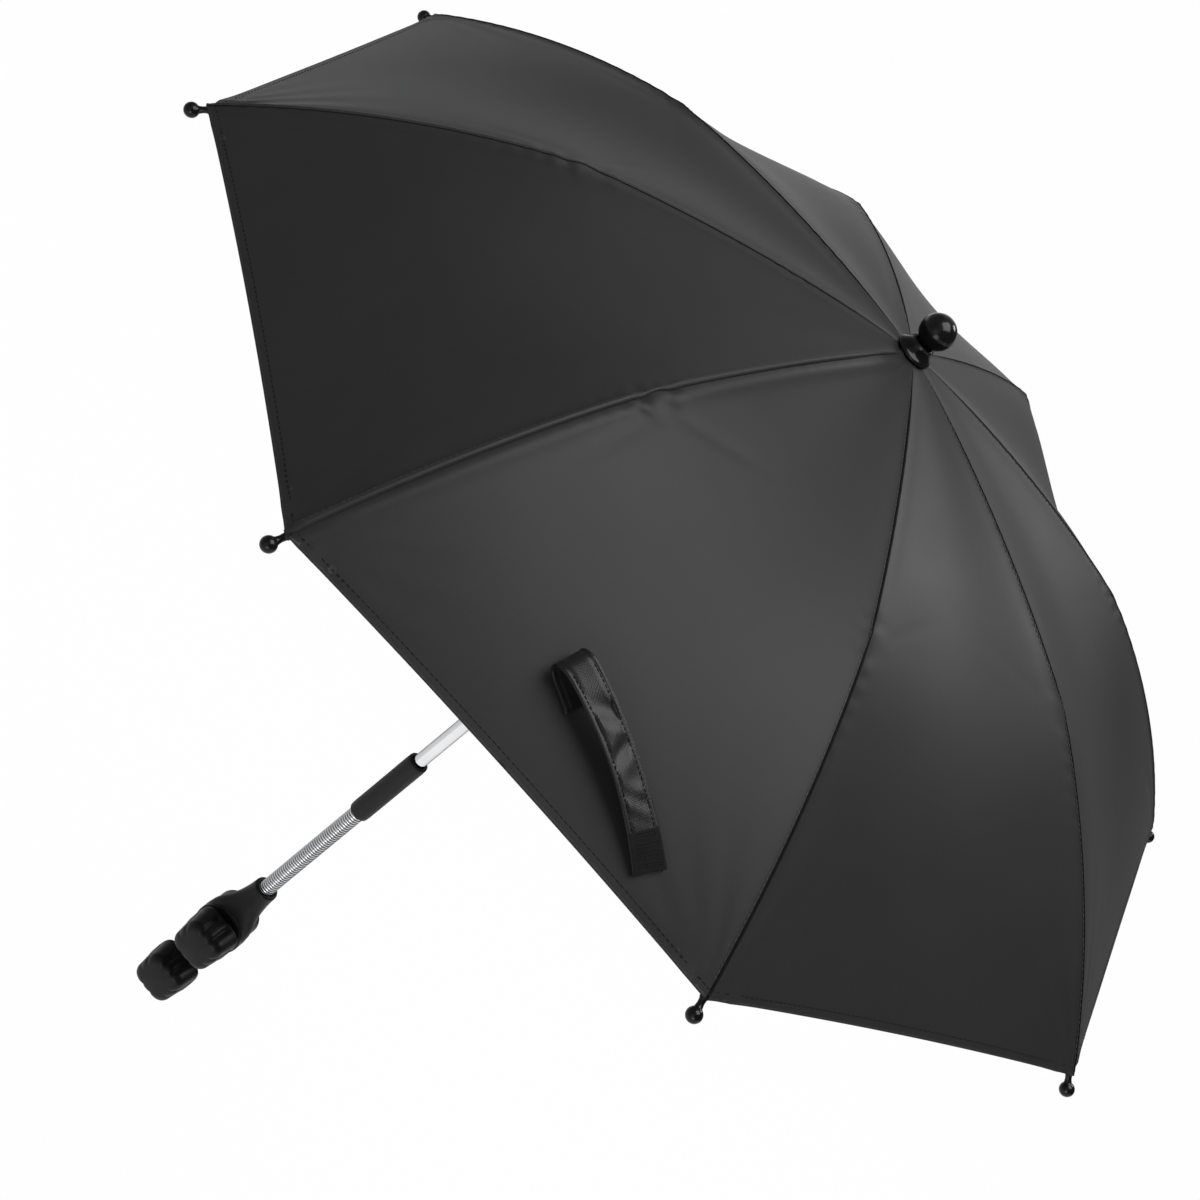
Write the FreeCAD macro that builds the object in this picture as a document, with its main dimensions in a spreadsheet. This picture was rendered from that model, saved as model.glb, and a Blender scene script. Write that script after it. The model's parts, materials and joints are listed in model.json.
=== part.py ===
import FreeCAD, Part
import math
import os
import re
from FreeCAD import Placement, Rotation, Vector

# A pram parasol: a folding canopy on a chromed pole, a coiled gooseneck and a screw clamp.
# Origin at the middle of the clamp's grip, +Z up along the pole, the two knobs towards -Y.

os.makedirs("parts", exist_ok=True)
doc = FreeCAD.newDocument("pram_parasol")
sheet = doc.addObject("Spreadsheet::Sheet", "Sizes")

# Driving dimensions, in millimetres and degrees.
sizes = {
    # canopy frame, seen in the plane of one rib
    "first_rib_azimuth": 27.1,
    "hub_radius": 10.0,
    "notch_height": 724.0,
    "knee_radius": 206.0,
    "knee_drop": 39.5,
    "rib_end_radius": 368.4,
    "rib_end_drop": 102.3,
    "inner_bow": 5.0,
    "outer_bow": 8.0,
    "rib_width": 2.8,
    "rib_depth": 2.6,
    "rod_width": 2.4,
    "rod_depth": 2.4,
    "knee_lift": 5.5,
    "knee_setback": 2.0,
    "eye_radius": 1.9,
    "knuckle_radius": 2.2,
    "rivet_radius": 1.0,
    "rivet_head_radius": 1.7,
    "rivet_head_height": 0.6,
    "pivot_play": 0.08,
    "ring_wire_radius": 0.75,
    "ring_play": 0.18,
    "cheek_thickness": 0.8,
    "cheek_play": 0.3,
    "stretcher_width": 2.0,
    "stretcher_depth": 2.6,
    "stretcher_eye_radius": 2.0,
    "tip_ball_radius": 4.25,
    "tip_neck_radius": 1.9,
    "tip_reach": 9.0,
    # canopy cloth and its tie
    "cloth_thickness": 0.8,
    "cloth_clearance": 0.7,
    "cloth_hole_radius": 6.2,
    "tie_width": 16.5,
    "tie_thickness": 1.6,
    "tie_length": 97.0,
    "tie_loop_rise": 13.0,
    "tie_arch_rise": 9.4,
    "tie_curl": 7.2,
    "tie_tab": 16.0,
    "tie_start_share": 0.69,
    "tie_start_across": 0.468,
    "tie_end_share": 0.83,
    "tie_end_across": 0.70,
    # hub at the top of the pole
    "notch_radius": 13.0,
    "notch_thickness": 9.0,
    "hub_slot_width": 3.4,
    "hub_slot_root": 7.6,
    "cap_radius": 11.5,
    "cap_rim": 2.5,
    "cap_height": 9.0,
    "cap_top_radius": 7.0,
    "cap_seat": 0.35,
    "ball_radius": 10.5,
    "ball_sink": 1.2,
    # pole, runner and catch
    "pole_radius": 4.75,
    "pole_wall": 0.8,
    "pole_fit": 0.05,
    "runner_radius": 7.0,
    "runner_bore_play": 0.25,
    "runner_crown_radius": 12.5,
    "runner_crown_half": 5.0,
    "runner_length": 32.0,
    "runner_grip_radius": 7.6,
    "runner_grip_height": 4.0,
    "catch_thickness": 1.6,
    "catch_height": 19.0,
    "catch_reach": 3.6,
    "catch_clearance": 0.3,
    # sleeve at the foot of the pole
    "sleeve_foot": 228.0,
    "sleeve_length": 64.0,
    "sleeve_radius": 7.5,
    "socket_depth": 9.0,
    "socket_play": 0.4,
    "sleeve_web": 3.0,
    # coiled gooseneck
    "arm_top": 124.0,
    "coil_outer_radius": 5.75,
    "coil_wire": 1.7,
    "coil_gap": 0.5,
    "core_radius": 3.6,
    "core_gap": 0.15,
    "core_relief_angle": 14.0,
    # swivel arm and clamp block
    "arm_top_radius": 9.0,
    "pivot_height": 76.0,
    "disc_radius": 17.0,
    "arm_disc_radius": 18.5,
    "arm_disc_thickness": 11.9,
    "block_disc_thickness": 14.8,
    "disc_gap": 0.15,
    "arm_waist_rise": 3.5,
    "arm_waist_radius": 13.2,
    "arm_shoulder_radius": 7.2,
    "arm_collar": 14.0,
    "arm_inset": 0.5,
    "screw_radius": 3.0,
    "screw_play": 0.2,
    "block_half_width": 15.4,
    "block_half_depth": 9.0,
    "slab_foot": 53.5,
    "ear_foot": 43.5,
    "ear_thickness": 3.0,
    "nut_radius": 6.0,
    "nut_thickness": 4.5,
    # jaws
    "grip_radius": 8.0,
    "pad_thickness": 2.5,
    "pad_parting": 0.7,
    "jaw_thickness": 1.5,
    "jaw_width": 24.0,
    "pad_width": 25.6,
    "jaw_end": 15.5,
    "pad_top": 41.0,
    "jaw_pin_height": 48.5,
    "jaw_pin_radius": 1.6,
    "jaw_knuckle_radius": 3.0,
    "jaw_screw_height": 24.0,
    "jaw_slot_half": 7.5,
    "jaw_screw_tail": 7.0,
    # knobs
    "knob_width": 35.0,
    "knob_length": 24.0,
    "knob_corner": 9.0,
    "knob_crown": 4.0,
    "knob_groove_radius": 2.6,
    "knob_groove_spacing": 10.0,
    "knob_neck_radius": 6.5,
    "knob_neck_length": 5.0,
    "knob_play": 0.3,
    "washer_radius": 8.0,
    "washer_thickness": 2.0,
    "screw_in_knob": 12.0,
}
for row, (alias, value) in enumerate(sizes.items(), start=1):
    sheet.set("A%d" % row, alias)
    sheet.set("B%d" % row, str(value))
    sheet.setAlias("B%d" % row, alias)
doc.recompute()

# Heights that follow from those.
heights = {
    "knee_height": "(notch_height - knee_drop)",
    "runner_height": "(notch_height - knee_drop * 2)",
}

rib_count = 8
neck_joints = 6
tie_panel = 5


class Cells:
    def __getattr__(self, alias):
        return float(sheet.get(alias))


cell = Cells()


def formula(text):
    def spelled(found):
        word = found[0]
        if word in heights:
            return formula(heights[word])
        return "Sizes." + word if word in sizes else word

    return re.sub(r"[a-z][a-z_]*", spelled, text)


def bind(thing, **properties):
    for name, text in properties.items():
        thing.setExpression(name, formula(text))
    return thing


def move(thing, x="0", y="0", z="0"):
    for axis, text in zip("xyz", (x, y, z)):
        thing.setExpression(".Placement.Base." + axis, formula(text))
    return thing


def turn(thing, axis, degrees):
    thing.Placement.Rotation = Rotation(Vector(*axis), degrees)
    return thing


def cylinder(name, radius, height, x="0", y="0", z="0", along="Z"):
    thing = doc.addObject("Part::Cylinder", name)
    if along == "Y":
        turn(thing, (1, 0, 0), -90)
    if along == "X":
        turn(thing, (0, 1, 0), 90)
    bind(thing, Radius=radius, Height=height)
    return move(thing, x, y, z)


def cone(name, foot_radius, top_radius, height, z):
    thing = doc.addObject("Part::Cone", name)
    bind(thing, Radius1=foot_radius, Radius2=top_radius, Height=height)
    return move(thing, z=z)


def box(name, length, width, height, x, y, z):
    thing = doc.addObject("Part::Box", name)
    bind(thing, Length=length, Width=width, Height=height)
    return move(thing, x, y, z)


def hexagon(name, radius, height, y, z):
    thing = doc.addObject("Part::Prism", name)
    turn(thing, (1, 0, 0), -90)
    bind(thing, Circumradius=radius, Height=height)
    return move(thing, y=y, z=z)


def fuse(name, *shapes):
    thing = doc.addObject("Part::MultiFuse", name)
    thing.Shapes = list(shapes)
    return thing


def cut(name, base, *tools):
    thing = doc.addObject("Part::Cut", name)
    thing.Base = base
    thing.Tool = tools[0] if len(tools) == 1 else fuse(name + "_tools", *tools)
    return thing


def group(name, *shapes):
    thing = doc.addObject("Part::Compound", name)
    thing.Links = list(shapes)
    return thing


def outline(name, plane, start, steps):
    # A closed sketch: each step is an end point, or a middle and an end point of an arc.
    sketch = doc.addObject("Sketcher::SketchObject", name)
    if plane == "XZ":
        sketch.Placement.Rotation = Rotation(Vector(1, 0, 0), 90)
    if plane == "YZ":
        sketch.Placement.Rotation = Rotation(Vector(1, 1, 1), 120)
    here = Vector(*start)
    for step in steps:
        points = [Vector(*point) for point in step]
        curve = Part.LineSegment(here, *points) if len(points) == 1 else Part.Arc(here, *points)
        sketch.addGeometry(curve, False)
        here = points[-1]
    return sketch


def polygon(name, plane, points):
    return outline(name, plane, points[0], [(point,) for point in points[1:] + points[:1]])


def plate(sketch, width):
    thing = doc.addObject("Part::Extrusion", sketch.Name + "_plate")
    thing.Base = sketch
    thing.DirMode = "Normal"
    thing.Solid = True
    thing.Symmetric = True
    return bind(thing, LengthFwd=width)


made = {}


def finished(thing, label):
    thing.Label = label
    made[label] = thing
    return thing


# One rib in the plane of X and Z. Points there are (radius, height).
def bowed(first, last, bow):
    # Centre and radius of the arc from first to last that rises by bow above its chord.
    chord = math.dist(first, last)
    radius = (chord * chord / 4 + bow * bow) / (2 * bow)
    across = ((last[0] - first[0]) / chord, (last[1] - first[1]) / chord)
    drop = radius - bow
    middle = ((first[0] + last[0]) / 2, (first[1] + last[1]) / 2)
    return (middle[0] + across[1] * drop, middle[1] - across[0] * drop), radius


def on_arc(centre, radius, angle):
    return centre[0] + radius * math.cos(angle), centre[1] + radius * math.sin(angle)


def angle_of(centre, point):
    return math.atan2(point[1] - centre[1], point[0] - centre[0])


def curved_bar(name, first, last, bow, depth, width):
    centre, radius = bowed(first, last, bow)
    start, stop = angle_of(centre, first), angle_of(centre, last)
    half = (start + stop) / 2
    inside = radius - depth
    sketch = outline(name, "XZ", first + (0,), [
        (on_arc(centre, radius, half) + (0,), last + (0,)),
        (on_arc(centre, inside, stop) + (0,),),
        (on_arc(centre, inside, half) + (0,), on_arc(centre, inside, start) + (0,)),
        (first + (0,),)])
    return plate(sketch, width)


def cheeks(name, points, inside):
    # A pair of plates with this outline, either side of the rib's plane.
    sketch = polygon(name, "XZ", [point + (0,) for point in points])
    disc = cylinder(name + "_disc", "knuckle_radius", inside + " * 2 + cheek_thickness * 2", "knee_radius",
                    "-(" + inside + " + cheek_thickness)", "knee_height", along="Y")
    whole = fuse(name + "_whole", plate(sketch, inside + " * 2 + cheek_thickness * 2"), disc)
    gap = box(name + "_gap", "rib_end_radius", inside + " * 2", "notch_height",
              "0", "-(" + inside + ")", "0")
    return cut(name + "_pair", whole, gap)


notch = (cell.hub_radius, cell.notch_height)
knee = (cell.knee_radius, notch[1] - cell.knee_drop)
rib_end = (cell.rib_end_radius, knee[1] - cell.rib_end_drop)

inner_start = (notch[0], notch[1] + cell.eye_radius)
inner_end = (knee[0] - cell.knee_setback, knee[1] + cell.knee_lift)
outer_reach = math.dist(knee, rib_end)
outer_along = ((rib_end[0] - knee[0]) / outer_reach, (rib_end[1] - knee[1]) / outer_reach)


def past_knee(along, above):
    return (knee[0] + along * outer_along[0] - above * outer_along[1],
            knee[1] + along * outer_along[1] + above * outer_along[0])


rod_top = 2 * cell.rod_depth
rod_root = cell.knuckle_radius + cell.cheek_play / 2
outer_start = past_knee(rod_root, rod_top)
bracket_length = 4 * cell.knuckle_radius
bracket_drop = cell.cheek_thickness

inner_cheek = "(stretcher_width / 2 + cheek_play)"
outer_cheek = "(stretcher_width / 2 + cheek_play * 2 + cheek_thickness)"
rivet_half = "(stretcher_width / 2 + cheek_play * 2.5 + cheek_thickness * 2)"


def across_rib(name, radius, half, at):
    return cylinder(name, radius, half + " * 2", at[0], "-" + half, at[1], along="Y")


knee_at = ("knee_radius", "knee_height")


def inner_rib():
    bar = curved_bar("inner_bar", inner_start, inner_end, cell.inner_bow, cell.rib_depth, "rib_width")
    eye = across_rib("inner_eye", "eye_radius", "(rib_width / 2)", ("hub_radius", "notch_height"))
    tuck = 4 * cell.knee_setback
    slope = (inner_start[1] - inner_end[1]) / (inner_end[0] - inner_start[0])
    lean = math.radians(41)
    side, rise = cell.knuckle_radius * math.cos(lean), cell.knuckle_radius * math.sin(lean)
    pair = cheeks("inner_cheeks", [
        (inner_end[0] - tuck, inner_end[1] + tuck * slope - cell.rib_depth / 4),
        (inner_end[0], inner_end[1] - cell.rib_depth / 6),
        (knee[0] + side, knee[1] + rise),
        (knee[0] - side, knee[1] - rise)], inner_cheek)
    body = fuse("inner_body", bar, eye, pair)
    wire_hole = across_rib("inner_wire_hole", "ring_wire_radius + ring_play", "rib_width",
                           ("hub_radius", "notch_height"))
    rivet_hole = across_rib("inner_rivet_hole", "rivet_radius", "(rib_width * 2)", knee_at)
    rib = cut("inner_rib_cut", body, wire_hole, rivet_hole)
    shank = across_rib("rivet_shank", "rivet_radius", rivet_half, knee_at)
    heads = [cylinder("rivet_head_" + side_name, "rivet_head_radius", "rivet_head_height", "knee_radius",
                      place, "knee_height", along="Y")
             for side_name, place in (("left", rivet_half),
                                      ("right", "-" + rivet_half + " - rivet_head_height"))]
    return group("inner_rib_master", rib, fuse("rivet", shank, *heads))


def outer_rib():
    rod = curved_bar("outer_rod", outer_start, rib_end, cell.outer_bow, cell.rod_depth, "rod_width")
    head_top = rod_top - bracket_drop
    head_foot = rod_top - cell.rod_depth
    head = plate(polygon("outer_head", "XZ", [point + (0,) for point in (
        past_knee(rod_root, head_foot), past_knee(bracket_length, head_foot),
        past_knee(bracket_length, head_top), past_knee(rod_root, head_top))]),
        outer_cheek + " * 2 + cheek_thickness * 2")
    lean = math.radians(52)
    side, rise = cell.knuckle_radius * math.cos(lean), cell.knuckle_radius * math.sin(lean)
    pair = cheeks("outer_cheeks", [
        past_knee(-side, rise), past_knee(rod_root, head_top), past_knee(bracket_length, head_top),
        past_knee(bracket_length, head_foot), past_knee(side, -rise)], outer_cheek)
    hole = across_rib("outer_rivet_hole", "rivet_radius + pivot_play", "(rib_width * 2)", knee_at)
    return cut("outer_rib_master", fuse("outer_body", rod, head, pair), hole)


def stretcher():
    length = "sqrt((knee_radius - hub_radius) ^ 2 + knee_drop ^ 2)"
    rise = math.degrees(math.atan2(notch[1] - knee[1], knee[0] - notch[0]))
    bar = box("stretcher_bar", length, "stretcher_width", "stretcher_depth",
              "0", "-stretcher_width / 2", "-stretcher_depth / 2")
    ends = [cylinder("stretcher_end_" + end, "stretcher_eye_radius", "stretcher_width", place,
                     "-stretcher_width / 2", along="Y") for end, place in (("low", "0"), ("high", length))]
    low_hole = cylinder("stretcher_low_hole", "ring_wire_radius + ring_play", "stretcher_width * 2", "0",
                        "-stretcher_width", along="Y")
    high_hole = cylinder("stretcher_high_hole", "rivet_radius + pivot_play", "stretcher_width * 2", length,
                         "-stretcher_width", along="Y")
    arm = cut("stretcher_master", fuse("stretcher_body", bar, *ends), low_hole, high_hole)
    turn(arm, (0, 1, 0), -rise)
    return move(arm, x="hub_radius", z="runner_height")


def rib_tip():
    centre, radius = bowed(outer_start, rib_end, cell.outer_bow)
    end_angle = angle_of(centre, rib_end)
    neck = cylinder("tip_neck", "tip_neck_radius", "tip_reach")
    ball = doc.addObject("Part::Sphere", "tip_ball")
    bind(ball, Radius="tip_ball_radius")
    move(ball, z="tip_reach")
    tip = fuse("tip_master", neck, ball)
    turn(tip, (0, 1, 0), 90 - math.degrees(end_angle - math.pi / 2))
    middle = on_arc(centre, radius - cell.rod_depth / 2, end_angle)
    tip.Placement.Base = Vector(middle[0], 0, middle[1])
    return tip


def round_the_pole(master, label):
    for number in range(1, rib_count + 1):
        copy = group("%s_%d" % (label, number), master)
        copy.Placement.Rotation = Rotation(Vector(0, 0, 1), 0)
        step = 360 // rib_count * (number - 1)
        copy.setExpression(".Placement.Rotation.Angle", formula("first_rib_azimuth + %d" % step))
        finished(copy, "%s_%d" % (label, number))


round_the_pole(inner_rib(), "inner_rib")
round_the_pole(outer_rib(), "outer_rib")
round_the_pole(stretcher(), "stretcher")
round_the_pole(rib_tip(), "rib_tip")


# The cloth lies on the ribs, each panel drawn straight from rib to rib.
def cloth_line():
    # Two arcs above the ribs' tops: hole to knee, and knee to rib end.
    inner_centre, inner_radius = bowed(inner_start, inner_end, cell.inner_bow)
    outer_centre, outer_radius = bowed(outer_start, rib_end, cell.outer_bow)
    inner_radius += cell.cloth_clearance
    outer_radius += cell.cloth_clearance
    apart = math.dist(inner_centre, outer_centre)
    along = (apart ** 2 + inner_radius ** 2 - outer_radius ** 2) / (2 * apart)
    above = math.sqrt(inner_radius ** 2 - along ** 2)
    to_outer = ((outer_centre[0] - inner_centre[0]) / apart, (outer_centre[1] - inner_centre[1]) / apart)
    crossings = [(inner_centre[0] + along * to_outer[0] - way * above * to_outer[1],
                  inner_centre[1] + along * to_outer[1] + way * above * to_outer[0]) for way in (1, -1)]
    fold = min(crossings, key=lambda point: math.dist(point, knee))
    start_angle = math.acos((cell.cloth_hole_radius - inner_centre[0]) / inner_radius)
    arcs = []
    for centre, radius, start, stop in (
            (inner_centre, inner_radius, start_angle, angle_of(inner_centre, fold)),
            (outer_centre, outer_radius, angle_of(outer_centre, fold), angle_of(outer_centre, rib_end))):
        arcs.append([on_arc(centre, radius, start + (stop - start) * share) for share in (0, 0.5, 1)])
    return arcs


def cloth_height(radius):
    # Underside of the cloth over a rib, near the hub.
    inner_centre, inner_radius = bowed(inner_start, inner_end, cell.inner_bow)
    inner_radius += cell.cloth_clearance
    return inner_centre[1] + math.sqrt(inner_radius ** 2 - (radius - inner_centre[0]) ** 2)


def canopy():
    arcs = cloth_line()
    lift = Vector(0, 0, cell.cloth_thickness)
    faces = []

    def at(point, rib):
        angle = math.radians(cell.first_rib_azimuth + 360 / rib_count * rib)
        return Vector(point[0] * math.cos(angle), point[0] * math.sin(angle), point[1])

    for rib in range(rib_count):
        for arc in arcs:
            for raised in (Vector(0, 0, 0), lift):
                edges = [Part.Arc(*[at(point, side) + raised for point in arc]).toShape()
                         for side in (rib, rib + 1)]
                faces.append(Part.makeRuledSurface(*edges))
        for point in (arcs[0][0], arcs[1][2]):
            first, second = at(point, rib), at(point, rib + 1)
            corners = [first, second, second + lift, first + lift, first]
            faces.append(Part.Face(Part.makePolygon(corners)))
    shell = Part.makeShell(faces)
    shell.sewShape()
    solid = Part.Solid(shell)
    solid.fix(1e-6, 1e-6, 1e-4)
    if solid.Volume < 0:
        solid.reverse()
    thing = doc.addObject("Part::Feature", "canopy")
    thing.Shape = solid
    return thing


finished(canopy(), "canopy")


# The tie strap is sewn to one panel by a short tab, turns over in a loop and arches along the cloth.
def tie_strap():
    centre, radius = bowed(outer_start, rib_end, cell.outer_bow)
    radius += cell.cloth_clearance + cell.cloth_thickness
    angles = [angle_of(centre, outer_start), angle_of(centre, rib_end)]

    def on_panel(share, across):
        reach, height = on_arc(centre, radius, angles[0] + (angles[1] - angles[0]) * share)
        sides = [math.radians(cell.first_rib_azimuth + 360 / rib_count * rib)
                 for rib in (tie_panel, tie_panel + 1)]
        left, right = [Vector(reach * math.cos(side), reach * math.sin(side), height) for side in sides]
        return left + (right - left) * across

    seat = on_panel(cell.tie_start_share, cell.tie_start_across)
    along = on_panel(cell.tie_end_share, cell.tie_end_across) - seat
    along.normalize()
    downhill = on_panel(cell.tie_end_share, cell.tie_start_across) - seat
    away = downhill.cross(along)
    away.normalize()
    thick, rise, length, tab = cell.tie_thickness, cell.tie_loop_rise, cell.tie_length, cell.tie_tab
    arch, curl = cell.tie_arch_rise, cell.tie_curl
    sketch = outline("tie_outline", "XY", (tab, 0, 0), [
        ((0, 0, 0),),
        ((-curl, rise / 2, 0), (0, rise, 0)),
        ((length / 2, arch, 0), (length, thick, 0)),
        ((length, 0, 0),),
        ((length / 2, arch - thick, 0), (0, rise - thick, 0)),
        ((thick - curl, rise / 2, 0), (0, thick, 0)),
        ((tab, thick, 0),),
        ((tab, 0, 0),)])
    strap = plate(sketch, "tie_width")
    lie = Rotation(along, away, along.cross(away), "XYZ")
    strap.Placement = Placement(seat + away * cell.cloth_clearance, lie)
    return strap


finished(tie_strap(), "tie_strap")


# Hub: slotted notch with its wire ring, cap and ball.
def slotted_crown(name, radius, foot, height):
    crown = cylinder(name + "_crown", radius, height, z=foot)
    slots = []
    for number in range(rib_count):
        degrees = cell.first_rib_azimuth + 360 / rib_count * number
        along = Rotation(Vector(0, 0, 1), degrees).multVec(Vector(1, 0, 0))
        side = "hub_slot_root * %.9f %+.9f * hub_slot_width / 2"
        slot = box("%s_slot_%d" % (name, number), radius + " * 2", "hub_slot_width", height + " * 3",
                   side % (along.x, along.y), side % (along.y, -along.x), foot + " - " + height)
        slots.append(turn(slot, (0, 0, 1), degrees))
    return cut(name + "_slotted", crown, *slots)


panel_half = math.pi / rib_count
notch_top = cloth_height(cell.notch_radius / math.cos(panel_half)) - cell.cloth_clearance


def top_notch():
    # The cloth is lowest over the notch's rim between two ribs.
    foot = "%.6f - notch_thickness" % notch_top
    crown = slotted_crown("notch", "notch_radius", foot, "notch_thickness")
    bore = cylinder("notch_bore", "pole_radius + pole_fit", "notch_thickness * 3",
                    z=foot + " - notch_thickness")
    rings = []
    for name in ("ring_groove", "ring_wire"):
        ring = doc.addObject("Part::Torus", name)
        bind(ring, Radius1="hub_radius", Radius2="ring_wire_radius")
        rings.append(move(ring, z="notch_height"))
    return group("top_notch", cut("notch_body", crown, bore, rings[0]), rings[1])


finished(top_notch(), "top_notch")

cloth_top = max(cloth_height(cell.cloth_hole_radius), cloth_height(cell.cap_radius)) + cell.cloth_thickness
cap_foot = cloth_top + cell.cap_seat


def ferrule_cap():
    rim = cylinder("cap_rim", "cap_radius", "cap_rim")
    dome = cone("cap_dome", "cap_radius", "cap_top_radius", "cap_height - cap_rim", "cap_rim")
    bore = cylinder("cap_bore", "pole_radius + pole_fit", "cap_height", z="-cap_rim")
    cap = cut("ferrule_cap", fuse("cap_body", rim, dome), bore)
    cap.Placement.Base = Vector(0, 0, cap_foot)
    return cap


finished(ferrule_cap(), "ferrule_cap")


def finial_ball():
    ball = doc.addObject("Part::Sphere", "ball_whole")
    bind(ball, Radius="ball_radius")
    move(ball, z="ball_radius - ball_sink")
    flat = box("ball_flat", "ball_radius * 4", "ball_radius * 4", "ball_radius",
               "-ball_radius * 2", "-ball_radius * 2", "-ball_radius")
    ball = cut("finial_ball", ball, flat)
    ball.Placement.Base = Vector(0, 0, cap_foot + cell.cap_height)
    return ball


finished(finial_ball(), "finial_ball")


# Pole, with a slot for the catch that holds the runner up.
runner_foot = "(runner_height + runner_crown_half - runner_length)"
catch_top = runner_foot[:-1] + " - catch_clearance)"


def pole():
    foot = "(sleeve_foot + socket_depth + sleeve_web)"
    top = cap_foot + cell.cap_height - cell.cap_rim - 2 * cell.pole_wall
    outside = cylinder("pole_outside", "pole_radius", "%.6f - %s" % (top, foot), z=foot)
    inside = cylinder("pole_inside", "pole_radius - pole_wall", "notch_height * 2", z=foot + " - pole_radius")
    slot = box("pole_slot", "pole_radius * 2", "catch_thickness + pole_fit * 4",
               "catch_height + pole_wall * 2", "0", "-catch_thickness / 2 - pole_fit * 2",
               catch_top + " - catch_height - pole_wall")
    return cut("pole", outside, inside, slot)


finished(pole(), "pole")


def catch_spring():
    reach = cell.pole_radius + cell.catch_reach
    back = cell.pole_radius - cell.pole_wall - cell.pole_fit
    top = cell.catch_height
    shelf = 2 * cell.catch_thickness
    sketch = polygon("catch_outline", "XZ", [
        (-back * 0.9, 0, 0), (back, 0, 0), (reach, top - shelf, 0), (reach, top, 0), (back * 0.4, top, 0),
        (back * 0.4, top - shelf, 0), (back - shelf / 2, top - shelf, 0), (0, shelf / 2, 0),
        (-back * 0.9 + shelf / 2, shelf / 2, 0), (-back * 0.9 + shelf / 2, top, 0), (-back * 0.9, top, 0)])
    spring = plate(sketch, "catch_thickness")
    return move(spring, z=catch_top + " - catch_height")


finished(catch_spring(), "catch_spring")


def runner():
    body = cylinder("runner_body", "runner_radius", "runner_length", z=runner_foot)
    grip = cylinder("runner_grip", "runner_grip_radius", "runner_grip_height", z=runner_foot)
    crown = slotted_crown("runner", "runner_crown_radius",
                          "runner_height - runner_crown_half", "runner_crown_half * 2")
    bore = cylinder("runner_bore", "pole_radius + runner_bore_play", "runner_length * 2",
                    z=runner_foot + " - runner_length / 2")
    return cut("runner", fuse("runner_whole", body, grip, crown), bore)


finished(runner(), "runner")


# Sleeve: takes the pole above and the gooseneck below. The neck bends at evenly spaced joints.
core_relief = "(core_radius * tan(core_relief_angle))"
neck_step = "((sleeve_foot - arm_top) / %d)" % neck_joints
first_joint = "(arm_top + %s / 2)" % neck_step
last_joint = "(sleeve_foot - %s / 2)" % neck_step


def core_rod(name, foot, top, low_end, high_end):
    # A rod between two heights, each free end relieved to a blunt cone so that it can tilt.
    low = "(%s + %s)" % (foot, core_relief) if low_end else foot
    high = "(%s - %s)" % (top, core_relief) if high_end else top
    pieces = [cylinder(name + "_shaft", "core_radius", "%s - %s" % (high, low), z=low)]
    if low_end:
        pieces.append(cone(name + "_low", "core_radius / 20", "core_radius", core_relief, foot))
    if high_end:
        pieces.append(cone(name + "_high", "core_radius", "core_radius / 20", core_relief, high))
    return fuse(name, *pieces)


socket_radius = "(coil_outer_radius + socket_play)"


def pole_sleeve():
    outside = cylinder("sleeve_outside", "sleeve_radius", "sleeve_length", z="sleeve_foot")
    socket = cylinder("sleeve_socket", socket_radius, "socket_depth * 2", z="sleeve_foot - socket_depth")
    bore = cylinder("sleeve_bore", "pole_radius + pole_fit", "sleeve_length",
                    z="sleeve_foot + socket_depth + sleeve_web")
    spigot = core_rod("sleeve_spigot", "(%s + core_gap)" % last_joint,
                      "(sleeve_foot + socket_depth + sleeve_web)", True, False)
    return fuse("pole_sleeve", cut("sleeve_body", outside, socket, bore), spigot)


finished(pole_sleeve(), "pole_sleeve")

core_master = core_rod("core_master", "core_gap", "(%s - core_gap)" % neck_step, True, True)
for number in range(1, neck_joints):
    link = group("neck_core_%d" % number, core_master)
    move(link, z="%s + %s * %d" % (first_joint, neck_step, number - 1))
    finished(link, "neck_core_%d" % number)


# Gooseneck coil: one wire wound in half turns, each drawn as two tangent arcs.
def arc_from(start, heading, end):
    chord = end - start
    length = chord.Length
    chord.normalize()
    bulge = heading - chord * heading.dot(chord)
    bulge.normalize()
    half_turn = math.acos(heading.dot(chord))
    middle = (start + end) * 0.5 + bulge * (length / 2 * math.tan(half_turn / 2))
    return Part.Arc(start, middle, end).toShape()


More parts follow.
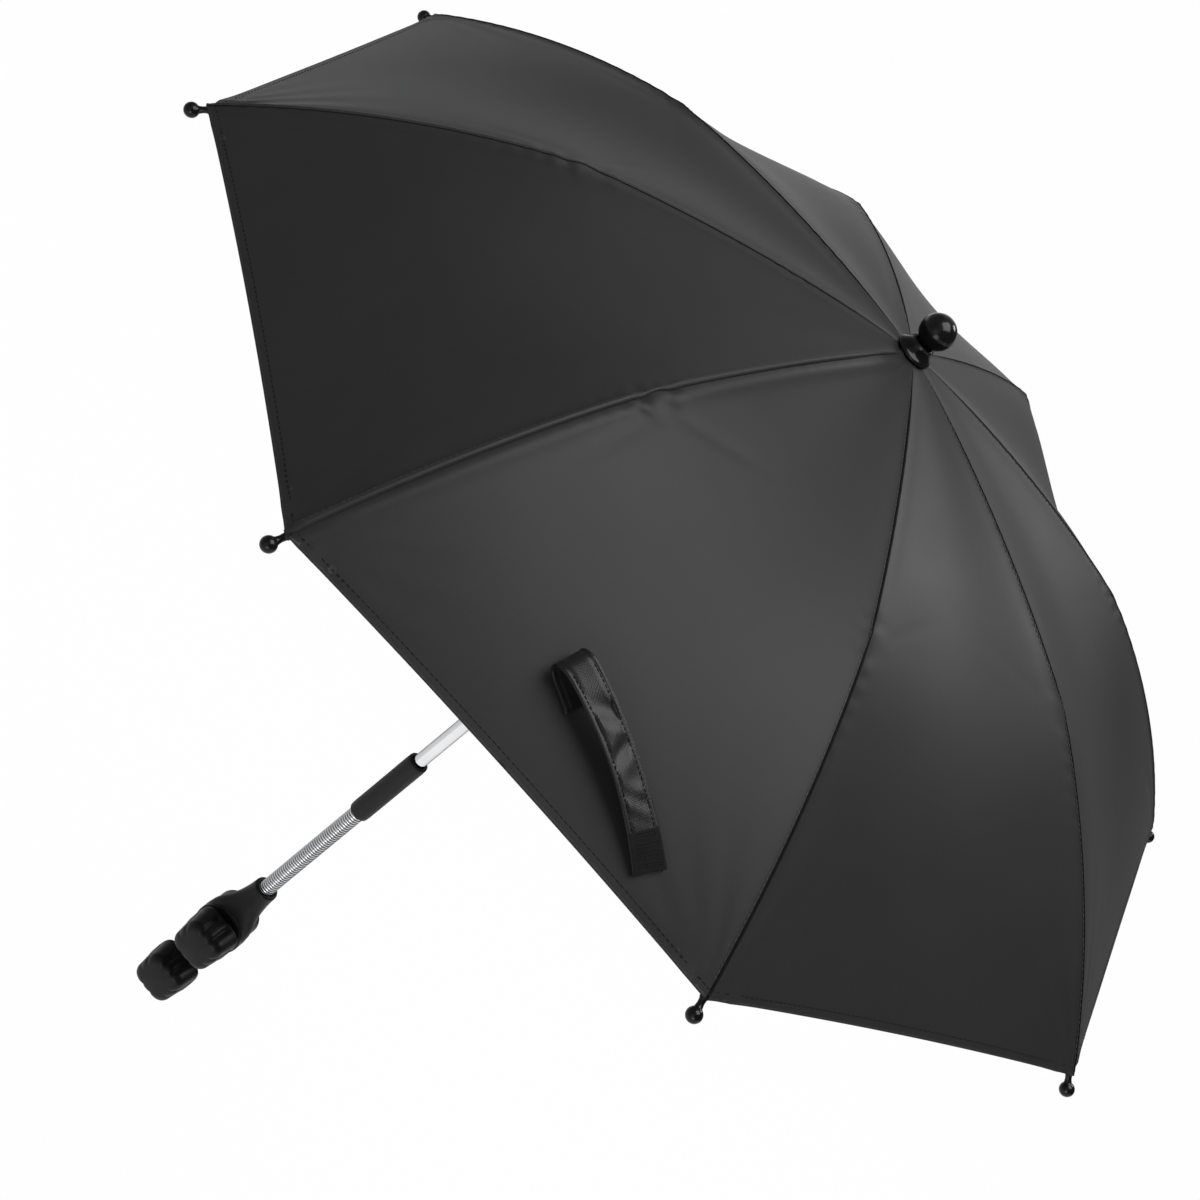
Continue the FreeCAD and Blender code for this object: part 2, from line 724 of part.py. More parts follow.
def gooseneck_coil():
    wire = cell.coil_wire
    radius = cell.coil_outer_radius - wire / 2
    foot = cell.arm_top - cell.socket_depth + wire
    top = cell.sleeve_foot + cell.socket_depth - wire
    turns = int((top - foot) / (wire + cell.coil_gap))
    pitch = (top - foot) / turns

    def point(share):
        angle = 2 * math.pi * share
        return Vector(radius * math.cos(angle), radius * math.sin(angle), foot + pitch * share)

    def heading(share):
        angle = 2 * math.pi * share
        ahead = Vector(-radius * math.sin(angle), radius * math.cos(angle), pitch / (2 * math.pi))
        return ahead.normalize()

    edges = []
    for half in range(2 * turns):
        start, end = point(half / 2), point(half / 2 + 0.5)
        leave, arrive = heading(half / 2), heading(half / 2 + 0.5)
        span, both = end - start, leave + arrive
        bend = 2 * (1 - leave.dot(arrive))
        along = span.dot(both)
        reach = (math.sqrt(along * along + bend * span.dot(span)) - along) / bend
        middle = (start + leave * reach + end - arrive * reach) * 0.5
        edges.append(arc_from(start, leave, middle))
        edges.append(arc_from(end, arrive * -1, middle))
    path = Part.Wire(Part.__sortEdges__(edges))
    section = Part.Wire(Part.makeCircle(wire / 2, point(0), heading(0)))
    solid = path.makePipeShell([section], True, False)
    samples = path.discretize(Number=24 * turns)
    per_turn = 24
    gap = min((one - other).Length for index, one in enumerate(samples)
              for other in samples[index + per_turn // 2:index + 2 * per_turn]) - wire
    swept = math.pi * wire * wire / 4 * path.Length
    print("coil turns %d, least gap %.3f mm, volume over section times length %.4f"
          % (turns, gap, solid.Volume / swept))
    thing = doc.addObject("Part::Feature", "gooseneck_coil")
    thing.Shape = solid
    return thing


finished(gooseneck_coil(), "gooseneck_coil")


# Swivel arm: a flared neck on a disc that turns about the pivot screw.
pivot_bore = "screw_radius + screw_play"


def swivel_arm():
    disc = cylinder("arm_disc", "arm_disc_radius", "arm_disc_thickness", "0",
                    "-disc_gap - arm_disc_thickness", "pivot_height", along="Y")
    middle = "-disc_gap - arm_disc_thickness / 2"
    low, low_half = cell.pivot_height + cell.screw_radius, cell.arm_disc_radius - cell.arm_inset
    waist, waist_half = cell.pivot_height + cell.disc_radius + cell.arm_waist_rise, cell.arm_waist_radius
    top, top_half = cell.arm_top - cell.arm_collar, cell.arm_shoulder_radius
    flare = plate(outline("arm_flare", "XZ", (-low_half, low, 0), [
        ((-waist_half, waist, 0), (-top_half, top, 0)),
        ((top_half, top, 0),),
        ((waist_half, waist, 0), (low_half, low, 0)),
        ((-low_half, low, 0),)]), "arm_disc_thickness - arm_inset * 2")
    move(flare, y=middle)
    waist_height = "(pivot_height + disc_radius + arm_waist_rise)"
    neck = cone("arm_neck", "arm_top_radius / 2", "arm_top_radius", "arm_top - arm_collar - " + waist_height,
                waist_height)
    collar = cylinder("arm_collar", "arm_top_radius", "arm_collar", z="arm_top - arm_collar")
    body = fuse("arm_body", disc, flare, neck, collar)
    socket = cylinder("arm_socket", socket_radius, "socket_depth * 2", z="arm_top - socket_depth")
    hole = cylinder("arm_hole", pivot_bore, "arm_disc_thickness * 3", "0", "-arm_disc_thickness * 2",
                    "pivot_height", along="Y")
    spigot = core_rod("arm_spigot", "(arm_top - socket_depth - sleeve_web)", "(%s - core_gap)" % first_joint,
                      False, True)
    return fuse("swivel_arm", cut("arm_bored", body, socket, hole), spigot)


finished(swivel_arm(), "swivel_arm")


# Clamp block: the fixed half of the swivel, with two ears for the jaw pin.
def clamp_block():
    disc = cylinder("block_disc", "disc_radius", "block_disc_thickness", "0", "disc_gap", "pivot_height",
                    along="Y")
    bridge = box("block_bridge", "block_half_width * 2", "block_disc_thickness", "pivot_height - slab_foot",
                 "-block_half_width", "disc_gap", "slab_foot")
    slab = box("block_slab", "block_half_width * 2", "block_half_depth + disc_gap + screw_radius",
               "pivot_height - arm_disc_radius - slab_foot - disc_gap * 2", "-block_half_width",
               "-block_half_depth", "slab_foot")
    ears = [box("block_ear_" + side, "ear_thickness", "block_half_depth * 2",
                "slab_foot - ear_foot + disc_gap", place, "-block_half_depth", "ear_foot")
            for side, place in (("left", "-block_half_width"), ("right", "block_half_width - ear_thickness"))]
    hole = cylinder("block_hole", pivot_bore, "block_disc_thickness * 3", "0", "-block_disc_thickness",
                    "pivot_height", along="Y")
    nut_room = hexagon("block_nut_room", "nut_radius + pole_fit", "nut_thickness * 2",
                       "disc_gap + block_disc_thickness - nut_thickness", "pivot_height")
    pin_hole = cylinder("block_pin_hole", "jaw_pin_radius", "block_half_width * 4", "-block_half_width * 2",
                        jaw_middle, "jaw_pin_height", along="X")
    return cut("clamp_block", fuse("block_body", disc, bridge, slab, *ears), hole, nut_room, pin_hole)


flat_face = "(pad_parting + pad_thickness)"
jaw_middle = "-(pad_parting + pad_thickness + jaw_thickness / 2)"
finished(clamp_block(), "clamp_block")


# Jaws: sheet-metal straps bent round the grip, lined with soft pads.
def strap_outline(name, side, inside_flat, inside_radius, thickness, top):
    outside_flat, outside_radius = inside_flat + thickness, inside_radius + thickness
    inside_rise = math.sqrt(inside_radius ** 2 - inside_flat ** 2)
    outside_rise = math.sqrt(outside_radius ** 2 - outside_flat ** 2)
    end = -cell.jaw_end
    return outline(name, "YZ", (side * inside_flat, top, 0), [
        ((side * inside_flat, inside_rise, 0),),
        ((side * inside_radius, 0, 0), (side * inside_flat, -inside_rise, 0)),
        ((side * inside_flat, end, 0),),
        ((side * outside_flat, end, 0),),
        ((side * outside_flat, -outside_rise, 0),),
        ((side * outside_radius, 0, 0), (side * outside_flat, outside_rise, 0)),
        ((side * outside_flat, top, 0),),
        ((side * inside_flat, top, 0),)])


def jaw_and_pad(side, jaw_name, pad_name):
    flat = cell.pad_parting + cell.pad_thickness
    bend = cell.grip_radius + cell.pad_thickness
    top = cell.jaw_pin_height if side < 0 else cell.slab_foot
    jaw = plate(strap_outline(jaw_name + "_outline", side, flat, bend, cell.jaw_thickness, top), "jaw_width")
    pad = plate(strap_outline(pad_name + "_outline", side, cell.pad_parting, cell.grip_radius,
                              cell.pad_thickness, cell.pad_top), "pad_width")
    slot_half = "jaw_slot_half" if side < 0 else "(screw_radius + screw_play)"
    tools = [box("%s_screw_slot" % name, "(screw_radius + screw_play) * 2", "grip_radius * 2",
                 slot_half + " * 2", "-screw_radius - screw_play", "-grip_radius",
                 "jaw_screw_height - " + slot_half)
             for name in (jaw_name, pad_name)]
    if side < 0:
        knuckle = cylinder("jaw_knuckle", "jaw_knuckle_radius", "jaw_width", "-jaw_width / 2", jaw_middle,
                           "jaw_pin_height", along="X")
        pin_hole = cylinder("jaw_pin_hole", "jaw_pin_radius + pivot_play", "jaw_width * 2", "-jaw_width",
                            jaw_middle, "jaw_pin_height", along="X")
        jaw = fuse("moving_jaw_body", jaw, knuckle)
        tools[0] = fuse("moving_jaw_holes", tools[0], pin_hole)
    finished(cut(jaw_name, jaw, tools[0]), jaw_name)
    finished(cut(pad_name, pad, tools[1]), pad_name)


jaw_and_pad(-1, "moving_jaw", "moving_pad")
jaw_and_pad(1, "fixed_jaw", "fixed_pad")

finished(cylinder("jaw_pin", "jaw_pin_radius", "block_half_width * 2", "-block_half_width", jaw_middle,
                  "jaw_pin_height", along="X"), "jaw_pin")


# Knobs: fluted squares on a round neck, each on its own screw. Their length runs along -Y.
def knob(name, seat, height):
    body = doc.addObject("Part::Box", name + "_block")
    bind(body, Length="knob_width", Width="knob_width", Height="knob_length")
    move(body, "-knob_width / 2", "-knob_width / 2", "knob_neck_length")
    doc.recompute()
    rounded = doc.addObject("Part::Fillet", name + "_rounded")
    rounded.Base = body
    upright = [number for number, edge in enumerate(body.Shape.Edges, start=1)
               if abs(edge.tangentAt(edge.FirstParameter).z) > 0.9]
    rounded.Edges = [(number, cell.knob_corner, cell.knob_corner) for number in upright]
    doc.recompute()
    crowned = doc.addObject("Part::Fillet", name + "_crowned")
    crowned.Base = rounded
    top = cell.knob_neck_length + cell.knob_length
    rim = [number for number, edge in enumerate(rounded.Shape.Edges, start=1)
           if edge.BoundBox.ZMin > top - cell.pole_fit]
    crowned.Edges = [(number, cell.knob_crown, cell.knob_crown) for number in rim]
    grooves = []
    for quarter in range(4):
        for side in (-1, 1):
            angle = math.radians(90 * quarter)
            along = "%.0f * knob_width / 2 + %.0f * knob_groove_spacing / 2"
            x = along % (math.cos(angle), -side * math.sin(angle))
            y = along % (math.sin(angle), side * math.cos(angle))
            grooves.append(cylinder("%s_groove_%d_%d" % (name, quarter, side + 1), "knob_groove_radius",
                                    "knob_length * 2", x, y, "knob_neck_length - knob_length / 2"))
    neck = cylinder(name + "_neck", "knob_neck_radius", "knob_neck_length * 1.2")
    bore = cylinder(name + "_bore", "screw_radius", "knob_neck_length + screw_in_knob", z="-knob_neck_length")
    whole = cut(name, fuse(name + "_body", cut(name + "_fluted", crowned, *grooves), neck), bore)
    turn(whole, (1, 0, 0), 90)
    return finished(move(whole, y=seat, z=height), name)


def knob_screw(name, seat, height, tail):
    # From the bottom of the knob's bore to its tail behind the nut.
    head = "(%s - screw_in_knob)" % seat
    screw = cylinder(name, "screw_radius", "%s - %s" % (tail, head), "0", head, height, along="Y")
    return finished(screw, name)


pivot_seat = "(-disc_gap - arm_disc_thickness - knob_play)"
jaw_face = "(pad_parting + pad_thickness + jaw_thickness)"
washer_front = "(-%s - knob_play - washer_thickness)" % jaw_face
jaw_seat = "(%s - knob_play)" % washer_front
knob("pivot_knob", pivot_seat, "pivot_height")
knob("jaw_knob", jaw_seat, "jaw_screw_height")
knob_screw("pivot_screw", pivot_seat, "pivot_height", "(disc_gap + block_disc_thickness)")
knob_screw("jaw_screw", jaw_seat, "jaw_screw_height", "(%s + nut_thickness + jaw_screw_tail)" % jaw_face)

washer = cylinder("washer_disc", "washer_radius", "washer_thickness", "0", washer_front, "jaw_screw_height",
                  along="Y")
washer_hole = cylinder("washer_hole", pivot_bore, "washer_thickness * 3", "0",
                       washer_front + " - washer_thickness", "jaw_screw_height", along="Y")
finished(cut("jaw_washer", washer, washer_hole), "jaw_washer")


def clamp_nuts():
    nuts = []
    for name, y, z in (("pivot_nut", "disc_gap + block_disc_thickness - nut_thickness", "pivot_height"),
                       ("jaw_nut", jaw_face, "jaw_screw_height")):
        body = hexagon(name + "_body", "nut_radius", "nut_thickness", y, z)
        hole = cylinder(name + "_hole", "screw_radius + pole_fit", "nut_thickness * 3", "0",
                        y + " - nut_thickness", z, along="Y")
        nuts.append(cut(name, body, hole))
    return group("clamp_nuts", *nuts)


finished(clamp_nuts(), "clamp_nuts")

doc.recompute()
for thing in doc.Objects:
    if "Invalid" in thing.State or "Error" in thing.State:
        raise RuntimeError("%s failed: %s" % (thing.Name, thing.State))
for label, thing in made.items():
    if thing.Shape.isNull() or not thing.Shape.isValid() or not thing.Shape.Solids:
        raise RuntimeError(label + " has no valid solid")
for label, thing in made.items():
    thing.Shape.exportStep("parts/%s.step" % label)
print("%d pieces written" % len(made))
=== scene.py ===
import bmesh
import bpy
import json
import random
from math import atan, atan2, copysign, cos, exp, hypot, pi, radians, sin
from mathutils import Matrix, Vector

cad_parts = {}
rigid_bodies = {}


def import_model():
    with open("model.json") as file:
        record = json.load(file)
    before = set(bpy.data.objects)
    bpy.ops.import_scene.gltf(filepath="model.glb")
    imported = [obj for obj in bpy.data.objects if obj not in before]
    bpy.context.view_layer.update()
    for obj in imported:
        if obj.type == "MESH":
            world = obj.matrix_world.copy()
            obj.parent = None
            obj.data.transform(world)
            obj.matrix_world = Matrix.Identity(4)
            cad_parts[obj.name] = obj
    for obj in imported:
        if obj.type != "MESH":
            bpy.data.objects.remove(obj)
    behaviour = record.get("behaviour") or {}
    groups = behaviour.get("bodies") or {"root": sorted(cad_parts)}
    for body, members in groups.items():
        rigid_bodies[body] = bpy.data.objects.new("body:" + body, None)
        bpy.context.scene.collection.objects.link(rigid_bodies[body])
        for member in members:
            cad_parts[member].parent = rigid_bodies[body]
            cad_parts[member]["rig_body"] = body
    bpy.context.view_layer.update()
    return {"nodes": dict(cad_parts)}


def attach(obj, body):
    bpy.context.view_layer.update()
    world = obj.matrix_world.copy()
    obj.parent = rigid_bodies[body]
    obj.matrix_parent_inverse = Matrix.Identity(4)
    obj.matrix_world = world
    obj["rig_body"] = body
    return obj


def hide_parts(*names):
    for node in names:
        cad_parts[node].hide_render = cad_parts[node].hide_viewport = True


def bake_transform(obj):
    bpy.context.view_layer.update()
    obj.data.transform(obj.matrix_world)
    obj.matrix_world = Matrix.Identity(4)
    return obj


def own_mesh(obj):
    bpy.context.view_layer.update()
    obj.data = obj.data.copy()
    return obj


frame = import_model()
scene = bpy.context.scene
mm = 0.001  # sizes below are in millimetres, the scene is in metres
print("frame loaded:", len(frame["nodes"]), "nodes")

# camera: level azimuth, looking down, and rolled so that the pole leans across the picture
shot = {"place": (0.0089, -1.1804, 1.1908), "lookAt": (-0.0056, 0.0, 0.4742), "roll": 50.203, "lens": 68.914,
        "sensor": 36.0, "clipFrom": 0.05, "clipTo": 60.0}


def facing(place, target):
    return (Vector(target) - Vector(place)).to_track_quat("-Z", "Y")


camera = bpy.data.objects.new("photoCamera", bpy.data.cameras.new("photoCamera"))
scene.collection.objects.link(camera)
camera.data.lens = shot["lens"]
camera.data.sensor_width = shot["sensor"]
camera.data.clip_start = shot["clipFrom"]
camera.data.clip_end = shot["clipTo"]
spin = Matrix.Rotation(radians(shot["roll"]), 3, "Z")
aim = facing(shot["place"], shot["lookAt"]).to_matrix() @ spin
camera.matrix_world = Matrix.Translation(shot["place"]) @ aim.to_4x4()
scene.camera = camera


# node helpers
def setInputs(tree, node, inputs):
    # links each input to a socket, or gives it a value
    for label, value in dict(inputs).items():
        if isinstance(value, bpy.types.NodeSocket):
            tree.links.new(value, node.inputs[label])
        else:
            node.inputs[label].default_value = value


def addNode(tree, kind, inputs=(), **settings):
    node = tree.nodes.new(kind)
    for name, value in settings.items():
        setattr(node, name, value)
    setInputs(tree, node, inputs)
    return node


def sumNode(tree, operation, *values):
    return addNode(tree, "ShaderNodeMath", enumerate(values), operation=operation).outputs[0]


def weighted(tree, first, firstShare, second, secondShare):
    # two values added, each times its share
    return sumNode(tree, "ADD", sumNode(tree, "MULTIPLY", first, firstShare),
                   sumNode(tree, "MULTIPLY", second, secondShare))


def rangeNode(tree, value, *limits):
    # limits are from low and high, then to low and high
    labels = ("Value", "From Min", "From Max", "To Min", "To Max")
    return addNode(tree, "ShaderNodeMapRange", zip(labels, (value, *limits))).outputs[0]


def partsOf(tree, vector):
    return addNode(tree, "ShaderNodeSeparateXYZ", {0: vector}).outputs


def joined(tree, *values):
    return addNode(tree, "ShaderNodeCombineXYZ", enumerate(values)).outputs[0]


def stretched(tree, vector, amounts):
    # the vector times one amount for each axis, a number or a socket
    parts = zip(partsOf(tree, vector), amounts)
    return joined(tree, *[sumNode(tree, "MULTIPLY", part, amount) for part, amount in parts])


def noiseOn(tree, vector, scale, detail=2.0, roughness=0.5):
    return addNode(tree, "ShaderNodeTexNoise", {
        "Vector": vector, "Scale": scale, "Detail": detail, "Roughness": roughness}).outputs["Fac"]


# shader node groups: each takes a Vector and gives Tone, Gloss and Height, or the worn Edge
def startGroup(name, inputs, outputs=("Tone", "Gloss", "Height")):
    tree = bpy.data.node_groups.new(name, "ShaderNodeTree")
    tree.interface.new_socket("Vector", in_out="INPUT", socket_type="NodeSocketVector")
    for label, value in inputs.items():
        socket = tree.interface.new_socket(label, in_out="INPUT", socket_type="NodeSocketFloat")
        socket.default_value = value
    for label in outputs:
        tree.interface.new_socket(label, in_out="OUTPUT", socket_type="NodeSocketFloat")
    return tree, tree.nodes.new("NodeGroupInput").outputs


def weaveGroup():
    # plain weave: warp and weft take turns on top, with slubs and soft cloudy shade
    slubStretch = (700.0, 45.0, 45.0)
    tree, given = startGroup("plainWeave", {"Threads": 2400.0, "Cloud Scale": 9.0, "Slub": 0.5})
    u, v, _ = partsOf(tree, stretched(tree, given["Vector"], [given["Threads"]] * 3))
    waves = [sumNode(tree, "SINE", sumNode(tree, "MULTIPLY", thread, pi)) for thread in (u, v)]
    across, along = [sumNode(tree, "ABSOLUTE", wave) for wave in waves]
    cells = sumNode(tree, "ADD", sumNode(tree, "FLOOR", u), sumNode(tree, "FLOOR", v))
    odd = sumNode(tree, "ABSOLUTE", sumNode(tree, "MODULO", cells, 2.0))
    weave = weighted(tree, across, odd, along, sumNode(tree, "SUBTRACT", 1.0, odd))
    slubs = noiseOn(tree, stretched(tree, given["Vector"], slubStretch), 1.0)
    cloud = noiseOn(tree, given["Vector"], given["Cloud Scale"], detail=3.0)
    addNode(tree, "NodeGroupOutput", {"Tone": weighted(tree, cloud, 0.7, slubs, 0.3), "Gloss": cloud,
                                      "Height": weighted(tree, weave, 1.0, slubs, given["Slub"])})
    return tree


def grainGroup():
    # moulded or painted skin: fine pits, a longer ripple and handled patches
    tree, given = startGroup("mouldedGrain", {"Grain": 2600.0, "Ripple": 260.0, "Patch": 42.0})
    pits = addNode(tree, "ShaderNodeTexVoronoi", {"Vector": given["Vector"], "Scale": given["Grain"]})
    ripple = noiseOn(tree, given["Vector"], given["Ripple"])
    patch = noiseOn(tree, given["Vector"], given["Patch"], detail=4.0, roughness=0.6)
    addNode(tree, "NodeGroupOutput", {"Tone": patch, "Gloss": weighted(tree, patch, 0.6, ripple, 0.4),
                                      "Height": weighted(tree, pits.outputs["Distance"], 0.7, ripple, 1.0)})
    return tree


def polishGroup():
    # plated or drawn metal: faint lines along one axis and hazy finger marks
    tree, given = startGroup("drawnPolish", {"Line X": 30.0, "Line Y": 30.0, "Line Z": 3000.0, "Haze": 38.0})
    drawn = stretched(tree, given["Vector"], [given["Line " + axis] for axis in "XYZ"])
    lines = noiseOn(tree, drawn, 1.0, detail=3.0)
    haze = noiseOn(tree, given["Vector"], given["Haze"], detail=5.0, roughness=0.65)
    tone = weighted(tree, lines, 0.45, haze, 0.55)
    addNode(tree, "NodeGroupOutput", {"Tone": tone, "Gloss": haze, "Height": lines})
    return tree


def edgeGroup():
    # light wear where an edge is rubbed, broken up by noise
    contrast = 3.0
    tree, given = startGroup("rubbedEdges", {"Reach": 0.0006, "Breaks": 420.0}, ["Edge"])
    bevel = addNode(tree, "ShaderNodeBevel", {"Radius": given["Reach"]}, samples=4)
    plain = addNode(tree, "ShaderNodeNewGeometry")
    dot = addNode(tree, "ShaderNodeVectorMath", {0: bevel.outputs["Normal"], 1: plain.outputs["Normal"]},
                  operation="DOT_PRODUCT")
    bend = sumNode(tree, "MULTIPLY", sumNode(tree, "SUBTRACT", 1.0, dot.outputs["Value"]), contrast)
    breaks = noiseOn(tree, given["Vector"], given["Breaks"], detail=4.0, roughness=0.7)
    worn = sumNode(tree, "MAXIMUM", sumNode(tree, "MULTIPLY", bend, breaks), 0.0)
    addNode(tree, "NodeGroupOutput", {"Edge": sumNode(tree, "MINIMUM", worn, 1.0)})
    return tree


groups = {"weave": weaveGroup(), "grain": grainGroup(), "polish": polishGroup(), "edges": edgeGroup()}


def makeFinish(name, group, values, dark, light, rough, bump, shine=0.5, sockets=(), source="Object",
               worn=None):
    # values in the group's own order, then two tones, roughness from and to, bump strength and depth
    toneStops, glossRange = (0.3, 0.7), (0.25, 0.75)
    finish = bpy.data.materials.new(name)
    finish.use_nodes = True
    tree = finish.node_tree
    where = addNode(tree, "ShaderNodeTexCoord").outputs[source]
    pattern = addNode(tree, "ShaderNodeGroup", enumerate((where, *values)), node_tree=groups[group]).outputs
    ramp = addNode(tree, "ShaderNodeValToRGB", {0: pattern["Tone"]})
    for stop, place, tone in zip(ramp.color_ramp.elements, toneStops, (dark, light)):
        stop.position = place
        stop.color = (*tone, 1.0)
    colour = ramp.outputs[0]
    if worn:
        reach, wornTone = worn
        edge = addNode(tree, "ShaderNodeGroup", {0: where, 1: reach}, node_tree=groups["edges"]).outputs[0]
        colour = addNode(tree, "ShaderNodeMix", {0: edge, 6: colour, 7: (*wornTone, 1.0)},
                         data_type="RGBA").outputs[2]
    bumped = addNode(tree, "ShaderNodeBump", {
        "Strength": bump[0], "Distance": bump[1], "Height": pattern["Height"]})
    setInputs(tree, tree.nodes["Principled BSDF"], {
        "Base Color": colour, "Roughness": rangeNode(tree, pattern["Gloss"], *glossRange, *rough),
        "Normal": bumped.outputs[0], "Specular IOR Level": shine, **dict(sockets)})
    return finish


finishes = {
    "cloth": makeFinish(
        "satinCloth", "weave", (1900, 7, 0.35), (0.016, 0.016, 0.017), (0.02, 0.02, 0.021), (0.43, 0.53),
        (0.05, 0.00008), 0.16, {"Sheen Weight": 0.01, "Sheen Roughness": 0.45}, "UV"),
    "lining": makeFinish(
        "foldedCloth", "weave", (1900, 16, 0.5), (0.018, 0.018, 0.019), (0.024, 0.024, 0.025), (0.44, 0.56),
        (0.15, 0.0001), 0.16, {"Sheen Weight": 0.01}),
    # painted shadow: a near-black matte cloth for the low seams, standing for the shade beneath a flat seam
    "seamShade": makeFinish(
        "seamFold", "weave", (1900, 16, 0.5), (0.003, 0.003, 0.003), (0.006, 0.006, 0.006), (0.6, 0.75),
        (0.15, 0.0001), 0.06),
    "strap": makeFinish(
        "shinyTape", "weave", (1100, 55, 0.6), (0.006, 0.006, 0.006), (0.011, 0.011, 0.011), (0.26, 0.4),
        (0.25, 0.00016), 0.22, {"Sheen Weight": 0.03}, "UV"),
    "hooks": makeFinish(
        "hookTape", "grain", (1300, 500, 120), (0.002, 0.002, 0.002), (0.006, 0.006, 0.006), (0.6, 0.8),
        (0.5, 0.0002), 0.15),
    "thread": makeFinish(
        "seamThread", "polish", (3000, 3000, 3000), (0.03, 0.03, 0.031), (0.05, 0.05, 0.052), (0.4, 0.6),
        (0.3, 0.0001)),
    "darkThread": makeFinish(
        "strapThread", "polish", (3000, 3000, 3000), (0.003, 0.003, 0.003), (0.006, 0.006, 0.006),
        (0.55, 0.75), (0.3, 0.0001), 0.12),
    "gloss": makeFinish(
        "polishedBlack", "grain", (900, 120, 60), (0.004, 0.004, 0.004), (0.007, 0.007, 0.007), (0.12, 0.22),
        (0.03, 0.00008), 0.18, {"Coat Weight": 0.05, "Coat Roughness": 0.05}),
    "plastic": makeFinish(
        "mouldedBlack", "grain", (2400, 220, 60), (0.008, 0.008, 0.008), (0.013, 0.013, 0.014), (0.36, 0.52),
        (0.22, 0.00012), 0.2, worn=(0.0007, (0.024, 0.024, 0.025))),
    "rubber": makeFinish(
        "gripRubber", "grain", (3200, 420, 80), (0.012, 0.012, 0.012), (0.018, 0.018, 0.019), (0.5, 0.62),
        (0.06, 0.00004), 0.25),
    # painted reflection: the dark specular tint darkens the chrome's grazing reflections, standing for dark
    # surroundings
    "chrome": makeFinish(
        "brightPlating", "polish", (900, 900, 12), (0.76, 0.77, 0.78), (0.88, 0.89, 0.9), (0.05, 0.13),
        (0.03, 0.00006), sockets={"Metallic": 1.0, "Specular Tint": (0.12, 0.12, 0.13, 1.0)}),
    # painted reflection: the same dark specular tint darkens the coil's grazing reflections
    "coil": makeFinish(
        "platedWire", "polish", (700, 700, 700), (0.78, 0.79, 0.8), (0.9, 0.91, 0.92), (0.08, 0.16),
        (0.03, 0.00004), sockets={"Metallic": 1.0, "Specular Tint": (0.25, 0.25, 0.26, 1.0)}),
    "steel": makeFinish(
        "plainSteel", "polish", (1800, 60, 1800), (0.38, 0.385, 0.4), (0.56, 0.57, 0.59), (0.22, 0.38),
        (0.08, 0.00006), sockets={"Metallic": 1.0}),
    "ribSteel": makeFinish(
        "satinBlackSteel", "grain", (2000, 300, 90), (0.009, 0.009, 0.01), (0.018, 0.018, 0.019),
        (0.28, 0.45), (0.12, 0.0001), 0.55, worn=(0.0004, (0.1, 0.1, 0.105))),
}
print("finishes made:", len(finishes))


# mesh helpers
def placeMesh(name, mesh, finish=None, smooth=True):
    # an object for a mesh, which keeps its own finish if none is given
    if finish:
        mesh.materials.clear()
        mesh.materials.append(finishes[finish])
        mesh.polygons.foreach_set("material_index", [0] * len(mesh.polygons))
    for polygon in mesh.polygons:
        polygon.use_smooth = smooth
    mesh.update()
    piece = bpy.data.objects.new(name, mesh)
    scene.collection.objects.link(piece)
    return piece


def newPiece(name, points, faces, finish, smooth=True, threads=None):
    # threads is one UV place for each point
    mesh = bpy.data.meshes.new(name)
    mesh.from_pydata([tuple(point) for point in points], [], faces)
    if threads:
        layer = mesh.uv_layers.new(name="threads")
        for loop in mesh.loops:
            layer.data[loop.index].uv = threads[loop.vertex_index]
    return placeMesh(name, mesh, finish, smooth)


def settle(piece, body, slot, *nodes):
    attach(piece, body)
    if nodes:
        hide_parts(*nodes)
    return piece


def joinTo(main, *others):
    with bpy.context.temp_override(active_object=main, object=main, selected_objects=[main, *others],
                                   selected_editable_objects=[main, *others]):
        bpy.ops.object.join()
    return main


def bell(value, width):
    return exp(-(value / width) ** 2)


def circle(steps):
    return [(cos(2 * pi * k / steps), sin(2 * pi * k / steps)) for k in range(steps)]


def arc(radius, middle, first, last, step):
    # the round part of an outline, from one angle to another in degrees
    angles = [radians(degrees) for degrees in range(first, last, step)]
    return [(radius * cos(angle), middle + radius * sin(angle)) for angle in angles]


def mirrored(half, middle=()):
    # half of a section, its middle, and the half again on the other side
    return [*half, *middle, *[(-a, b) for a, b in half[::-1]]]


def roundCorners(corners, radius, steps=4):
    # an open line of points, each inner corner eased by a short curve
    mostOfSide = 0.45
    line = [Vector(corners[0])]
    for before, corner, after in zip(corners, corners[1:], corners[2:]):
        here = Vector(corner)
        back, ahead = Vector(before) - here, Vector(after) - here
        reach = min(radius, back.length * mostOfSide, ahead.length * mostOfSide)
        first, last = here + back.normalized() * reach, here + ahead.normalized() * reach
        for step in range(steps + 1):
            t = step / steps
            line.append(first * (1 - t) ** 2 + here * 2 * t * (1 - t) + last * t ** 2)
    return [tuple(point) for point in line + [Vector(corners[-1])]]


def gridFaces(rows, wide):
    firsts = [row * wide + k for row in range(rows - 1) for k in range(wide - 1)]
    return [[first, first + wide, first + wide + 1, first + 1] for first in firsts]


def ringMesh(rings, capped=False):
    # a skin through rings of points, where a ring of one point is a pole
    points, rows, faces = [], [], []
    for ring in rings:
        rows.append(list(range(len(points), len(points) + len(ring))))
        points += ring
    for low, high in zip(rows, rows[1:]):
        for k in range(max(len(low), len(high))):
            corners = ((low, k), (low, k + 1), (high, k + 1), (high, k))
            faces.append(list(dict.fromkeys(row[step % len(row)] for row, step in corners)))
    if capped:
        faces += [rows[0][::-1], rows[-1]]
    return points, faces


def ribbonAlong(stations, section):
    # a closed section carried along stations of (point, side, up), with its two ends closed
    rings = [[place + side * a * mm + up * b * mm for a, b in section] for place, side, up in stations]
    return ringMesh(rings, capped=True)


